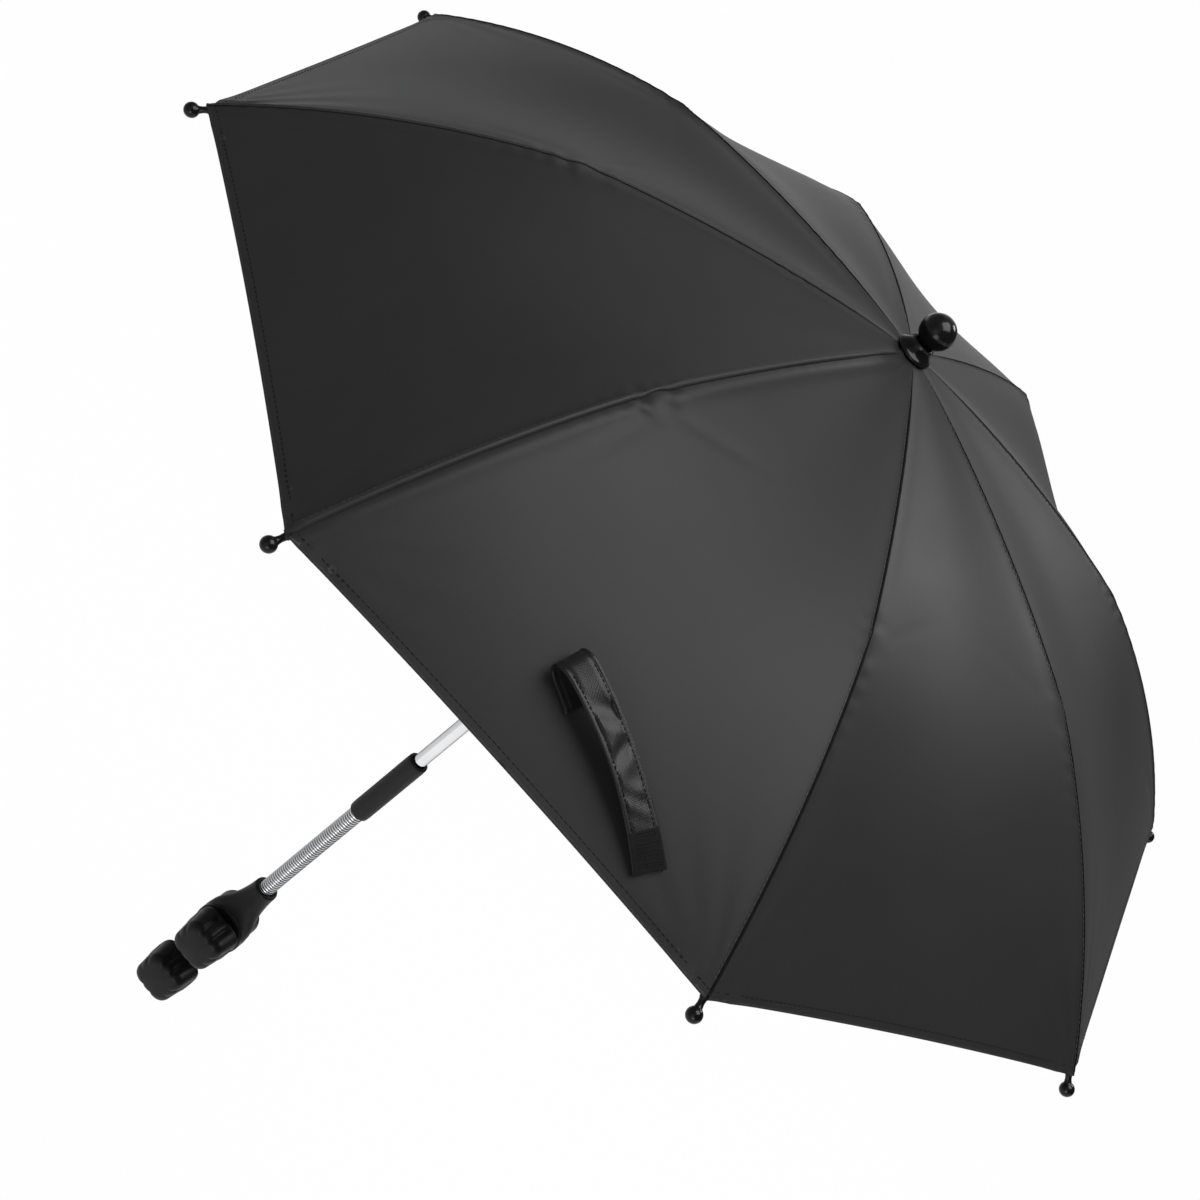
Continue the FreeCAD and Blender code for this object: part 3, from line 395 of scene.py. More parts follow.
def latheMesh(profile, foot, axis, steps):
    # profile is (radius, height) up the outside, in millimetres
    leastRadius = 1e-6
    up = Vector(axis).normalized()
    side = up.orthogonal().normalized()
    other = up.cross(side)
    rings = []
    for radius, height in profile:
        middle = Vector(foot) * mm + up * height * mm
        turns = circle(steps) if radius > leastRadius else [(0.0, 0.0)]
        rings.append([middle + (side * c + other * s) * radius * mm for c, s in turns])
    return ringMesh(rings)


def easedCopy(node, name, finish, width, slot):
    # a CAD node's shape with its edges eased: merged, flattened and bevelled
    weld, flat, sharp = 2e-6, radians(0.6), radians(32)
    mesh = frame["nodes"][node].data.copy()
    mesh.name = name
    work = bmesh.new()
    work.from_mesh(mesh)
    bmesh.ops.remove_doubles(work, verts=work.verts, dist=weld)
    bmesh.ops.dissolve_limit(work, angle_limit=flat, verts=work.verts, edges=work.edges)
    work.to_mesh(mesh)
    work.free()
    piece = placeMesh(name, mesh, finish)
    mesh.set_sharp_from_angle(angle=sharp)
    bevel = piece.modifiers.new("easedEdges", "BEVEL")
    bevel.width = width * mm
    bevel.segments = 2
    bevel.limit_method = "ANGLE"
    bevel.angle_limit = sharp
    bevel.harden_normals = True
    bevel.use_clamp_overlap = True
    return settle(piece, frame["nodes"][node]["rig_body"], slot, node)


# geometry node trees
def startTree(name, floats, wholes=()):
    tree = bpy.data.node_groups.new(name, "GeometryNodeTree")
    kinds = {"Geometry": "Geometry", **dict.fromkeys(floats, "Float"), **dict.fromkeys(wholes, "Int"),
             "Finish": "Material"}
    for label, kind in kinds.items():
        tree.interface.new_socket(label, in_out="INPUT", socket_type="NodeSocket" + kind)
    tree.interface.new_socket("Geometry", in_out="OUTPUT", socket_type="NodeSocketGeometry")
    return tree, tree.nodes.new("NodeGroupInput").outputs


def endTree(tree, given, geometry):
    real = addNode(tree, "GeometryNodeRealizeInstances", {0: geometry})
    paint = addNode(tree, "GeometryNodeSetMaterial", {
        "Geometry": real.outputs[0], "Material": given["Finish"]})
    addNode(tree, "NodeGroupOutput", {0: paint.outputs[0]})
    return tree


def stitchTree():
    # a row of thread bars along a line
    tree, given = startTree("stitchRow", ("Pitch", "Length", "Thickness"))
    curve = addNode(tree, "GeometryNodeMeshToCurve", {0: given["Geometry"]})
    spots = addNode(tree, "GeometryNodeCurveToPoints", {"Curve": curve.outputs[0], "Length": given["Pitch"]},
                    mode="LENGTH").outputs
    bar = addNode(tree, "GeometryNodeMeshUVSphere", {"Segments": 6, "Rings": 5, "Radius": 0.5})
    size = joined(tree, given["Thickness"], given["Thickness"], given["Length"])
    bars = addNode(tree, "GeometryNodeInstanceOnPoints", {
        "Points": spots["Points"], "Instance": bar.outputs[0], "Rotation": spots["Rotation"], "Scale": size})
    return endTree(tree, given, bars.outputs[0])


def coilTree():
    # wire wound round the Z axis from one height to another
    floats = ("Turns", "Radius", "Wire", "Foot", "Rise", "Start Angle")
    tree, given = startTree("woundWire", floats, ["Steps"])
    spiral = addNode(tree, "GeometryNodeCurveSpiral", {
        "Resolution": given["Steps"], "Rotations": given["Turns"], "Start Radius": given["Radius"],
        "End Radius": given["Radius"], "Height": given["Rise"], "Reverse": True})
    placed = addNode(tree, "GeometryNodeTransform", {
        "Geometry": spiral.outputs[0], "Translation": joined(tree, 0.0, 0.0, given["Foot"]),
        "Rotation": joined(tree, 0.0, 0.0, given["Start Angle"])})
    ring = addNode(tree, "GeometryNodeCurvePrimitiveCircle", {"Resolution": 10, "Radius": given["Wire"]})
    tube = addNode(tree, "GeometryNodeCurveToMesh", {
        "Curve": placed.outputs[0], "Profile Curve": ring.outputs[0], "Fill Caps": True})
    return endTree(tree, given, tube.outputs[0])


def bristleTree():
    # small bent hooks on every point of a mesh
    mostLean = (0.45, 0.45, 3.0)
    tree, given = startTree("hookField", ("Height", "Thickness"), ["Seed"])
    hook = addNode(tree, "GeometryNodeMeshCone", {
        "Vertices": 5, "Radius Top": 0.35, "Radius Bottom": 0.5, "Depth": 1.0})
    normal = addNode(tree, "GeometryNodeInputNormal")
    upright = addNode(tree, "FunctionNodeAlignRotationToVector", {"Vector": normal.outputs[0]})
    lean = addNode(tree, "FunctionNodeRandomValue", {
        0: [-angle for angle in mostLean], 1: mostLean, "Seed": given["Seed"]}, data_type="FLOAT_VECTOR")
    turned = addNode(tree, "FunctionNodeRotateRotation", {0: upright.outputs[0], 1: lean.outputs[0]},
                     rotation_space="LOCAL")
    field = addNode(tree, "GeometryNodeInstanceOnPoints", {
        "Points": given["Geometry"], "Instance": hook.outputs[0], "Rotation": turned.outputs[0],
        "Scale": joined(tree, given["Thickness"], given["Thickness"], given["Height"])})
    return endTree(tree, given, field.outputs[0])


trees = {"stitches": stitchTree(), "coil": coilTree(), "hooks": bristleTree()}


def grow(name, tree, values, points=(), edges=(), faces=()):
    # runs a tree on a small mesh and gives back a plain mesh object
    seed = bpy.data.meshes.new(name + "Seed")
    seed.from_pydata([tuple(point) for point in points], list(edges), list(faces))
    seed.update()
    holder = bpy.data.objects.new(name + "Seed", seed)
    scene.collection.objects.link(holder)
    nodes = holder.modifiers.new("grow", "NODES")
    nodes.node_group = trees[tree]
    for socket in trees[tree].interface.items_tree:
        if socket.in_out == "INPUT" and socket.name in values:
            nodes[socket.identifier] = values[socket.name]
    depsgraph = bpy.context.evaluated_depsgraph_get()
    mesh = bpy.data.meshes.new_from_object(holder.evaluated_get(depsgraph))
    mesh.name = name
    holder.modifiers.remove(nodes)
    bpy.data.objects.remove(holder)
    bpy.data.meshes.remove(seed)
    return placeMesh(name, mesh)


def stitchRow(name, row, sizes, finish):
    # sizes are the stitches' pitch, length and thickness
    values = {label: size * mm for label, size in zip(("Pitch", "Length", "Thickness"), sizes)}
    edges = [(k, k + 1) for k in range(len(row) - 1)]
    return grow(name, "stitches", {**values, "Finish": finishes[finish]}, row, edges)


# canopy: one curved sheet over eight ribs, made in rib-centred pieces that meet in the middle of each panel
canopy = {
    "ribs": 8, "firstRib": 27.1, "lift": 0.8, "thickness": 0.5, "kneeShare": 0.50802, "lineLength": 399.6,
    "innerCentre": (-69.616, -246.466), "innerRadius": 976.320, "innerSweep": (85.546, 73.633),
    "outerCentre": (-19.770, 170.331), "outerRadius": 566.661, "outerSweep": (66.575, 46.697),
    "kneeEase": 80.0, "kneeFade": 0.4, "kneeReach": 206.0, "hubReach": 40.0, "slopeStep": 0.01,
    "ridgeShare": 0.6, "ridgeWidth": 2.8, "ridgeFlex": 0.4, "pinch": 0.5, "pinchLength": 6.5,
    "hemInset": 2.8, "hemFade": 0.9, "hemBeyond": 1.2, "hemSteps": 72, "hemStitch": (4.4, 0.1),
    "hemFold": ((6.0, -0.6), (5.8, -1.0), (0.2, -1.05), (-0.35, -0.4), (0.1, 0.12), (0.8, 0.06), (1.5, -0.3)),
    "rows": 54, "rowEase": 1.6, "slopeStretch": 1.12, "bowedLength": 1.03,
    "stitch": (3.2, 2.2, 0.4), "stitchAside": 0.7, "stitchRise": 0.12, "raisedSeam": 0.8,
    "seamRows": 60, "seamStart": 0.022, "seamStep": 0.003, "seamTaper": 60.0, "seamPinch": 7.0,
    "seamHalf": ((0.7, -0.4), (0.98, 0.18), (1.0, 0.4), (0.86, 0.68), (0.5, 0.92)),
    "foldedKeep": {"Inner": 0.16, "Outer": 0.1},
    # for each rib, the height and half width of its seam
    "seams": ((0.5, 0.55), (0.45, 0.5), (0.45, 0.5), (0.45, 0.5),
              (1.0, 1.1), (2.5, 1.9), (0.6, 0.75), (0.45, 0.5)),
    # for each panel, how far it sags and how much it creases beside its two ribs
    "sag": (9.0, 5.0, 3.5, 3.2, 3.6, 3.4, 3.6, 4.5),
    "creases": ((0.3, 0.3), (0.3, 0.3), (0.3, 0.4), (0.4, 0.5),
                (0.7, 0.3), (1.5, 0.15), (0.35, 0.2), (0.2, 0.2)),
    # at the knee: rise, place and width along the rib, then place, drift and width aside of it
    "kneeCreases": (
        (0.9, 0.0, 5.0, 0.0, 0.0, 9.0), (-0.7, 8.5, 4.0, 3.0, 0.0, 9.0), (-0.6, -8.0, 4.0, 3.0, 0.0, 8.0),
        (-0.55, 32.0, 26.0, 12.0, 0.12, 3.2), (-0.5, -14.0, 12.0, 14.0, -1.3, 6.0)),
    "furrow": {"depth": 0.4, "aside": 6.5, "width": 3.5},
    "ripple": {"least": 0.1, "perCrease": 0.5, "most": 0.35, "wave": 0.55, "gather": 0.043, "aside": 4.0},
    "fan": {"rise": 0.5, "waves": 17.0, "back": 4.0, "reach": 60.0, "width": 50.0, "clear": 8.0},
    "phases": {"gather": 7, "ripple": 5, "fan": 3},
}
panelTurn = 2 * pi / canopy["ribs"]
halfChord = sin(panelTurn / 2)
chance = random.Random(11)
panelSlants = [chance.uniform(0.7, 1.3) for _ in range(canopy["ribs"])]


def ribAngle(rib):
    return radians(canopy["firstRib"]) + panelTurn * rib


def ribOut(rib):
    return Vector((cos(ribAngle(rib)), sin(ribAngle(rib)), 0))


def ribLine(share):
    # radius and height of the cloth over a rib, share 0 at the hub and 1 at the rib's end
    knee = canopy["kneeShare"]
    part, t = ("inner", share / knee) if share <= knee else ("outer", (share - knee) / (1 - knee))
    first, last = canopy[part + "Sweep"]
    angle = radians(first + (last - first) * t)
    centre, radius = canopy[part + "Centre"], canopy[part + "Radius"]
    return centre[0] + radius * cos(angle), centre[1] + radius * sin(angle) + canopy["lift"]


kneePoints = [Vector(ribLine(canopy["kneeShare"] + step * canopy["slopeStep"])) for step in (-1, 0, 1)]
kneeBend = (kneePoints[2] - kneePoints[1]).normalized() - (kneePoints[1] - kneePoints[0]).normalized()


def panelLine(share, f):
    # the rib's line, with its bend at the knee eased away from the rib
    spot = Vector(ribLine(share))
    reach = canopy["kneeEase"] * sin(pi * f) ** canopy["kneeFade"]
    within = reach - abs(share - canopy["kneeShare"]) * canopy["lineLength"]
    return spot + kneeBend * (within ** 2 / (4 * reach)) if within > 0 else spot


def ridgeHeight(rib, aside, along):
    # the cloth drawn up over the rib, pinched where the rib bends
    pinched = 1 - canopy["pinch"] * bell(along, canopy["pinchLength"])
    ridge = canopy["ridgeShare"] * canopy["seams"][rib % canopy["ribs"]][0]
    return ridge * pinched * bell(aside, canopy["ridgeWidth"] * (1 - canopy["ridgeFlex"] * (1 - pinched)))


def relief(panel, f, share, radius):
    # how far the cloth stands above the straight panel, in millimetres
    panel %= canopy["ribs"]
    furrow, ripple, fan = canopy["furrow"], canopy["ripple"], canopy["fan"]
    phase = {wave: turns * panelSlants[panel] for wave, turns in canopy["phases"].items()}
    aside = min(f, 1 - f) * 2 * halfChord * radius
    along = (share - canopy["kneeShare"]) * canopy["lineLength"]
    crease = canopy["creases"][panel][0 if f < 0.5 else 1]
    beside = ridgeHeight(panel if f < 0.5 else panel + 1, aside, along)
    beside -= furrow["depth"] * crease * bell(aside - furrow["aside"], furrow["width"])
    gather = 0.5 + 0.5 * sin(along * ripple["gather"] + phase["gather"])
    wave = sin(along * ripple["wave"] + phase["ripple"])
    wave *= min(ripple["most"], ripple["least"] + ripple["perCrease"] * crease)
    beside += gather * wave * bell(aside - ripple["aside"], ripple["aside"])
    height = beside * min(1.0, radius / canopy["hubReach"])
    height -= canopy["sag"][panel] * sin(pi * f) ** 2 * sin(pi * min(1, share))
    for rise, at, length, away, drift, width in canopy["kneeCreases"]:
        height += rise * crease * bell(along - at, length) * bell(aside - away - drift * along, width)
    fromTip = (1 - share) * canopy["lineLength"]
    spread = cos(atan2(aside, fromTip + fan["back"]) * fan["waves"] + phase["fan"])
    faded = bell(fromTip, fan["reach"]) * bell(aside, fan["width"]) * min(1, aside / fan["clear"])
    return height + fan["rise"] * spread * faded


def clothPoint(rib, share, across):
    # across 0 is on the rib, -1 and 1 are the middles of the panels beside it
    side = 1 if across >= 0 else -1
    f = abs(across) / 2
    radius, height = panelLine(share, f)
    flat = ribOut(rib) * (1 - f) + ribOut(rib + side) * f
    panel, panelShare = (rib, f) if side > 0 else (rib - 1, 1 - f)
    ahead = ribLine(min(1.0, share + canopy["slopeStep"]))
    behind = ribLine(max(0.0, share - canopy["slopeStep"]))
    slope = atan2(behind[1] - ahead[1], ahead[0] - behind[0])
    out = flat.normalized() * sin(slope) + Vector((0, 0, cos(slope)))
    return (flat * radius + Vector((0, 0, height)) + out * relief(panel, panelShare, share, radius)) * mm


def clothNormal(rib, share, across):
    shareStep, acrossStep = 0.004, 0.02
    low, high = max(0.0, share - shareStep), min(1.0, share + shareStep)
    left, right = max(-1, across - acrossStep), min(1, across + acrossStep)
    along = clothPoint(rib, high, across) - clothPoint(rib, low, across)
    return along.cross(clothPoint(rib, share, right) - clothPoint(rib, share, left)).normalized()


def hemShare(across):
    f = abs(across) / 2
    inset = canopy["hemInset"] * (4 * f * (1 - f)) ** canopy["hemFade"]
    return 1 - (inset - canopy["hemBeyond"]) / canopy["lineLength"]


acrossSteps = [
    0, 0.004, 0.009, 0.015, 0.023, 0.034, 0.048, 0.066, 0.09, 0.12, 0.155, 0.195, 0.24, 0.29, 0.345, 0.405,
    0.47, 0.54, 0.61, 0.68, 0.75, 0.82, 0.88, 0.93, 0.965, 0.985, 0.995, 1.0]
acrossSteps = [-value for value in acrossSteps[:0:-1]] + acrossSteps


def rowShare(half, t, across):
    # rows lie closer together towards the knee, where the pieces meet
    knee, ease = canopy["kneeShare"], canopy["rowEase"]
    if half == "Inner":
        return knee * (1 - (1 - t) ** ease)
    return knee + (hemShare(across) - knee) * t ** ease


def clothPiece(rib, half):
    points, threads = [], []
    rows = canopy["rows"]
    for row in range(rows + 1):
        for across in acrossSteps:
            place = clothPoint(rib, rowShare(half, row / rows, across), across)
            points.append(place)
            middle = ribAngle(rib) + copysign(panelTurn / 2, across)
            out = place.x * cos(middle) + place.y * sin(middle)
            aside = place.y * cos(middle) - place.x * sin(middle)
            threads.append((aside, out * canopy["slopeStretch"]))
    faces = gridFaces(rows + 1, len(acrossSteps))
    return newPiece("canopy%s%d" % (half, rib + 1), points, faces, "cloth", threads=threads)


def seamStations(rib, half):
    # places along the rib, thinner towards the hub and pinched at the knee
    stations, near = [], canopy["seamStep"]
    side = Vector((-sin(ribAngle(rib)), cos(ribAngle(rib)), 0))
    for row in range(canopy["seamRows"] + 1):
        share = max(canopy["seamStart"], rowShare(half, row / canopy["seamRows"], 0.0))
        place = clothPoint(rib, share, 0.0)
        ahead = clothPoint(rib, min(1.0, share + near), 0.0) - clothPoint(rib, share - near, 0.0)
        reach = hypot(place.x, place.y) / mm
        scale = min(1.0, reach / canopy["seamTaper"])
        scale *= 1 - canopy["pinch"] * bell(reach - canopy["kneeReach"], canopy["seamPinch"])
        stations.append((place, side * scale, ahead.cross(side).normalized() * scale))
    return stations


def hemStations(rib):
    stations, near = [], canopy["slopeStep"]
    for step in range(canopy["hemSteps"] + 1):
        across = -1 + 2 * step / canopy["hemSteps"]
        share = hemShare(across)
        place = clothPoint(rib, share, across)
        inward = (clothPoint(rib, share - near, across) - place).normalized()
        stations.append((place, inward, clothNormal(rib, share - near / 2, across)))
    return stations


def clothTrim(rib, half):
    # the folded seam along the rib, the hem on the outer pieces, and their stitches
    name = "seam%s%d" % (half, rib + 1)
    high, wide = canopy["seams"][rib]
    section = mirrored([(a * wide, b * high) for a, b in canopy["seamHalf"]], [(0.0, high)])
    stations = seamStations(rib, half)
    # low seams take the near-black finish, a painted shadow line along the rib
    finish = "lining" if high > canopy["raisedSeam"] else "seamShade"
    trim = newPiece(name, *ribbonAlong(stations, section), finish)
    beside = wide + canopy["stitchAside"]
    drop = canopy["ridgeShare"] * high * (1 - bell(beside, canopy["ridgeWidth"])) - canopy["stitchRise"]
    rows = {"thread": [place - side * beside * mm - up * drop * mm for place, side, up in stations[2:-2]]}
    if half == "Outer":
        stations = hemStations(rib)
        trim = joinTo(trim, newPiece(name + "Hem", *ribbonAlong(stations, canopy["hemFold"]), "lining"))
        aside, rise = canopy["hemStitch"]
        rows["darkThread"] = [place + side * aside * mm + up * rise * mm for place, side, up in stations]
    for finish, row in rows.items():
        trim = joinTo(trim, stitchRow(name + finish, row, canopy["stitch"], finish))
    return trim


def foldAway(piece):
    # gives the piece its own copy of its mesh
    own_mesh(piece)


for rib in range(canopy["ribs"]):
    for half in ("Inner", "Outer"):
        body = "%s_rib_%d" % (half.lower(), rib + 1)
        cloth, trim = clothPiece(rib, half), clothTrim(rib, half)
        corners = [clothPoint(rib, rowShare(half, t, c), c) for t, c in ((1, -1), (1, 0), (1, 1), (0, 0))]
        width = (corners[1] - corners[0]).length + (corners[2] - corners[1]).length
        shell = cloth.modifiers.new("clothThickness", "SOLIDIFY")
        shell.thickness = canopy["thickness"] * mm
        shell.offset = -1.0
        shell.use_rim = False
        settle(cloth, body, "black_cloth", "canopy")
        settle(trim, body, "black_cloth")
        foldAway(cloth)
        foldAway(trim)
print("canopy sewn")

# tie strap: a sewn tab, a turned-over loop and a long arch to its hook-tape end
strap = {
    "width": 16.5, "thickness": 1.1, "length": 97.0, "rise": 12.4, "arch": 8.8, "curl": 7.2,
    "outerStart": (210.548, 687.303), "startShare": (0.69, 0.468), "endShare": (0.83, 0.70),
    "firstRib": 5, "rib": 7, "sideBow": -4.3, "twist": 15.0, "underShift": 6.0, "curlShare": 0.95,
    "tabHeight": 1.0, "endHeight": 1.2, "tabStep": 2.0, "tabRows": 9, "loopRows": 12, "archRows": 56,
    "twistFrom": 14, "innerRim": 0.4, "plainRim": 2.8,
    # from the rim inwards: distance and swell of the thickness
    "edge": ((0.0, -0.2), (0.35, 0.16), (1.6, 0.20), (2.5, -0.14), (3.0, 0.08)),
    # depth, waves across and along, phase, then place and width along the arch
    "puckers": ((1.2, 0.22, 24, 0.0, 0.26, 0.11), (0.8, -0.30, 38, 1.0, 0.42, 0.12),
                (0.4, 0.42, 55, 0.0, 0.66, 0.10)),
    "stitch": (2.6, 2.0, 0.55), "stitchInset": 2.5, "stitchRise": 0.6, "crossRise": 0.75, "crossInset": 2.0,
    "crossBack": 1.0, "crossRows": 13, "patchLength": 19.5, "patchLift": 1.2,
    # from the rim inwards: distance and height
    "patchEdge": ((0.4, 0.5), (0.2, 1.0), (0.9, 1.5)),
    "hookPitch": 1.25, "hookHeight": 0.9, "hookThickness": 0.55,
    "hookInset": (2.0, 1.8), "hookClear": 3.0, "hookRise": 0.4,
}
halfBand = strap["width"] / 2
archStart = strap["tabRows"] + strap["loopRows"] - 1


def onPanel(share, across):
    # a point on the straight panel between two ribs, as the strap's seat is measured
    centre, radius = canopy["outerCentre"], canopy["outerRadius"] + canopy["lift"]
    first = atan2(strap["outerStart"][1] - centre[1], strap["outerStart"][0] - centre[0])
    last = radians(canopy["outerSweep"][1])
    angle = first + (last - first) * share
    reach, height = centre[0] + radius * cos(angle), centre[1] + radius * sin(angle)
    ribs = (strap["firstRib"], strap["firstRib"] + 1)
    ends = [ribOut(rib) * reach + Vector((0, 0, height)) for rib in ribs]
    return ends[0].lerp(ends[1], across)


seat = onPanel(*strap["startShare"])
strapAlong = (onPanel(*strap["endShare"]) - seat).normalized()
strapAway = (onPanel(strap["endShare"][0], strap["startShare"][1]) - seat).cross(strapAlong).normalized()
strapSide = strapAlong.cross(strapAway)


def strapPlace(flat, offset, lift=0.0, under=0.0, upper=True):
    # a point of the band, which bows to one side and turns a little about its own line
    share = max(0.0, min(1.0, flat.x / strap["length"]))
    steep = 4 * strap["sideBow"] / strap["length"]
    bow = steep * flat.x * (1 - share)
    lean = atan(steep * (1 - 2 * share))
    turn = radians(strap["twist"]) * sin(pi * share) if upper else 0.0
    level = strapSide * cos(lean) - strapAlong * sin(lean)
    aside = level * cos(turn) + strapAway * sin(turn)
    up = strapAway * cos(turn) - strapSide * sin(turn)
    middle = seat + strapAlong * flat.x + strapAway * flat.y + strapSide * (bow + under)
    return (middle + up * lift + aside * offset) * mm


def strapPath():
    # the band's middle line in (along, away), from the sewn tab over the loop to the free end
    rise, low, end = strap["rise"], strap["tabHeight"], strap["endHeight"]
    line = [(strap["tabStep"] * (strap["tabRows"] - 1 - k), low) for k in range(strap["tabRows"])]
    for k in range(1, strap["loopRows"] + 1):
        angle = -pi / 2 - pi * k / strap["loopRows"]
        away = low + (rise - low) / 2 * (1 + sin(angle))
        line.append((strap["curl"] * cos(angle) * strap["curlShare"], away))
    for k in range(1, strap["archRows"] + 1):
        t = k / strap["archRows"]
        bulge = 4 * (strap["arch"] - (rise + end) / 2) * t * (1 - t)
        line.append((strap["length"] * t, rise * (1 - t) + end * t + bulge))
    return [Vector(point) for point in line]


def pucker(k, offset):
    # how far the arch is crumpled, away from its stitched edges
    t = (k - archStart) / strap["archRows"]
    if t <= 0 or abs(offset) >= halfBand - strap["plainRim"]:
        return 0.0
    return sum(depth * sin(offset * across + along * t + phase) * bell(t - place, width)
               for depth, across, along, phase, place, width in strap["puckers"])


def strapBand():
    line = strapPath()
    edge = [(-halfBand + step, swell) for step, swell in strap["edge"]]
    rims = mirrored(edge + [(-halfBand * strap["innerRim"], 0.0)], [(0, 0.0)])
    rings, threads, travelled = [], [], 0.0
    for k, place in enumerate(line):
        before, after = line[max(0, k - 1)], line[min(len(line) - 1, k + 1)]
        travelled += (place - before).length
        ahead = (after - before).normalized()
        up = Vector((-ahead.y, ahead.x))
        under = strap["underShift"] * max(0.0, 1 - k / archStart)
        ring = []
        for layer in (1, -1):
            for offset, swell in rims[::layer]:
                thick = layer * (strap["thickness"] / 2 + swell) + pucker(k, offset)
                ring.append(strapPlace(place + up * thick, offset, under=under, upper=k > strap["twistFrom"]))
                threads.append((offset * mm, travelled * mm))
        rings.append(ring)
    piece = newPiece("tieStrap", *ringMesh(rings, capped=True), "strap", threads=threads)
    return piece, line, travelled


tieBand, tieLine, tieRun = strapBand()


def bandHeight(along):
    return next(point.y for point in tieLine[::-1] if point.x <= along)


sewnAt = halfBand - strap["stitchInset"]
sewn = [[strapPlace(point, side * sewnAt, strap["stitchRise"]) for point in tieLine[archStart + 1:]]
        for side in (-1, 1)]
crossAt = tieLine[-1] - Vector((strap["patchLength"] - strap["crossBack"], 0))
crossAt.y = bandHeight(crossAt.x)
sewn.append([strapPlace(crossAt, -halfBand + strap["crossInset"] + k, strap["crossRise"])
             for k in range(strap["crossRows"])])
tieSewing = joinTo(*[stitchRow("tieStitch%d" % number, row, strap["stitch"], "darkThread")
                     for number, row in enumerate(sewn)])
tieSewing.name = "tieSewing"

# hook tape at the strap's end
patchFoot = strap["length"] - strap["patchLength"]
patchHalf = [(halfBand - inset, height) for inset, height in strap["patchEdge"]]
patchStations = [(strapPlace(point, 0), (strapPlace(point, 1) - strapPlace(point, 0)).normalized(), strapAway)
                 for point in tieLine if point.x > patchFoot]
tiePatch = newPiece("tieHookTape", *ribbonAlong(patchStations, mirrored(patchHalf)), "hooks", smooth=False)
hookRows, hooksWide = [int((strap[side] - strap["hookClear"]) / strap["hookPitch"])
                       for side in ("patchLength", "width")]
grid = []
for k in range(hookRows):
    at = patchFoot + strap["hookInset"][0] + k * strap["hookPitch"]
    place = Vector((at, bandHeight(at)))
    for n in range(hooksWide):
        offset = -halfBand + strap["hookInset"][1] + n * strap["hookPitch"]
        grid.append(strapPlace(place, offset, strap["patchLift"] + strap["hookRise"]))
tieHooks = grow("tieHooks", "hooks", {
    "Height": strap["hookHeight"] * mm, "Thickness": strap["hookThickness"] * mm, "Seed": 3,
    "Finish": finishes["hooks"]}, grid, faces=gridFaces(hookRows, hooksWide))
tiePatch = joinTo(tiePatch, tieHooks)
for piece in (tieBand, tieSewing, tiePatch):
    settle(piece, "outer_rib_%d" % strap["rib"], "black_cloth")
    foldAway(piece)
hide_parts("tie_strap")
print("tie strap sewn")

# rib tips: a flared neck and a ball, along the end of each rib
tip = {"base": (367.577, 581.327), "along": (0.72773, -0.68586), "ball": 4.25, "reach": 9.0, "steps": 32,
       "neck": [(0, -2.0), (1.5, -2.0), (2.35, -1.4), (2.35, 0.2), (1.9, 0.9), (1.75, 3.0), (2.0, 4.6)],
       "arc": (-58, 81, 9)}
tipOutline = tip["neck"] + arc(tip["ball"], tip["reach"], *tip["arc"]) + [(0, tip["reach"] + tip["ball"])]
for rib in range(canopy["ribs"]):
    place, axis = [ribOut(rib) * out + Vector((0, 0, up)) for out, up in (tip["base"], tip["along"])]
    piece = newPiece("ribTip%d" % (rib + 1), *latheMesh(tipOutline, place, axis, tip["steps"]), "gloss")
    settle(piece, "outer_rib_%d" % (rib + 1), "black_gloss_plastic", "rib_tip_%d" % (rib + 1))

# cap and ball on top of the pole
crown = {"foot": (0, 0, 728.06), "axis": (0, 0, 1), "steps": 72, "height": 9.0, "ball": 10.5, "sink": 1.2,
         "arc": (-62, 88, 5), "taper": 3.7, "taperPower": 0.8, "rise": 6.4, "rows": 12,
         "rim": [(0, 6.2), (4.8, 6.2), (4.8, 0.0), (9.2, 0.0), (10.9, 0.0), (11.2, 0.12), (11.45, 0.45),
                 (11.5, 0.95), (11.4, 1.5), (11.1, 2.0)],
         "top": [(7.25, 8.7), (6.8, 8.95), (6.2, 9.0), (0, 9.0)]}
shoulder = crown["rim"][-1]
capOutline = list(crown["rim"])
for k in range(1, crown["rows"] + 1):
    t = k / crown["rows"]
    narrowed = crown["taper"] * sin(t * pi / 2) ** crown["taperPower"]
    capOutline.append((shoulder[0] - narrowed, shoulder[1] + crown["rise"] * t))
capOutline += crown["top"]
ballMiddle = crown["height"] + crown["ball"] - crown["sink"]
ballOutline = [(0, crown["height"])] + arc(crown["ball"], ballMiddle, *crown["arc"])
ballOutline.append((0, ballMiddle + crown["ball"]))
for name, node, outline in (("ferruleCap", "ferrule_cap", capOutline),
                            ("finialBall", "finial_ball", ballOutline)):
    piece = newPiece(name, *latheMesh(outline, crown["foot"], crown["axis"], crown["steps"]), "gloss")
    settle(piece, "pole", "black_gloss_plastic", node)
print("top of the pole made")

# rubber sleeve over the foot of the pole and the head of the gooseneck
sleeve = {"spigot": [(0, 219.5), (3.6, 220.4), (3.6, 237.0), (6.15, 237.0)], "round": 1.1, "steps": 64,
          "skin": [(6.15, 234.0), (6.15, 228.0), (7.25, 228.0), (7.5, 231.5), (7.5, 288.5), (7.25, 292.0),
                   (4.8, 292.0), (4.8, 286.0)],
          "bore": [(4.8, 240.0), (0, 240.0)]}
sleeveOutline = sleeve["spigot"] + roundCorners(sleeve["skin"], sleeve["round"]) + sleeve["bore"]
grip = newPiece("poleSleeve", *latheMesh(sleeveOutline, (0, 0, 0), (0, 0, 1), sleeve["steps"]), "rubber")
settle(grip, "pole", "black_rubber", "pole_sleeve")

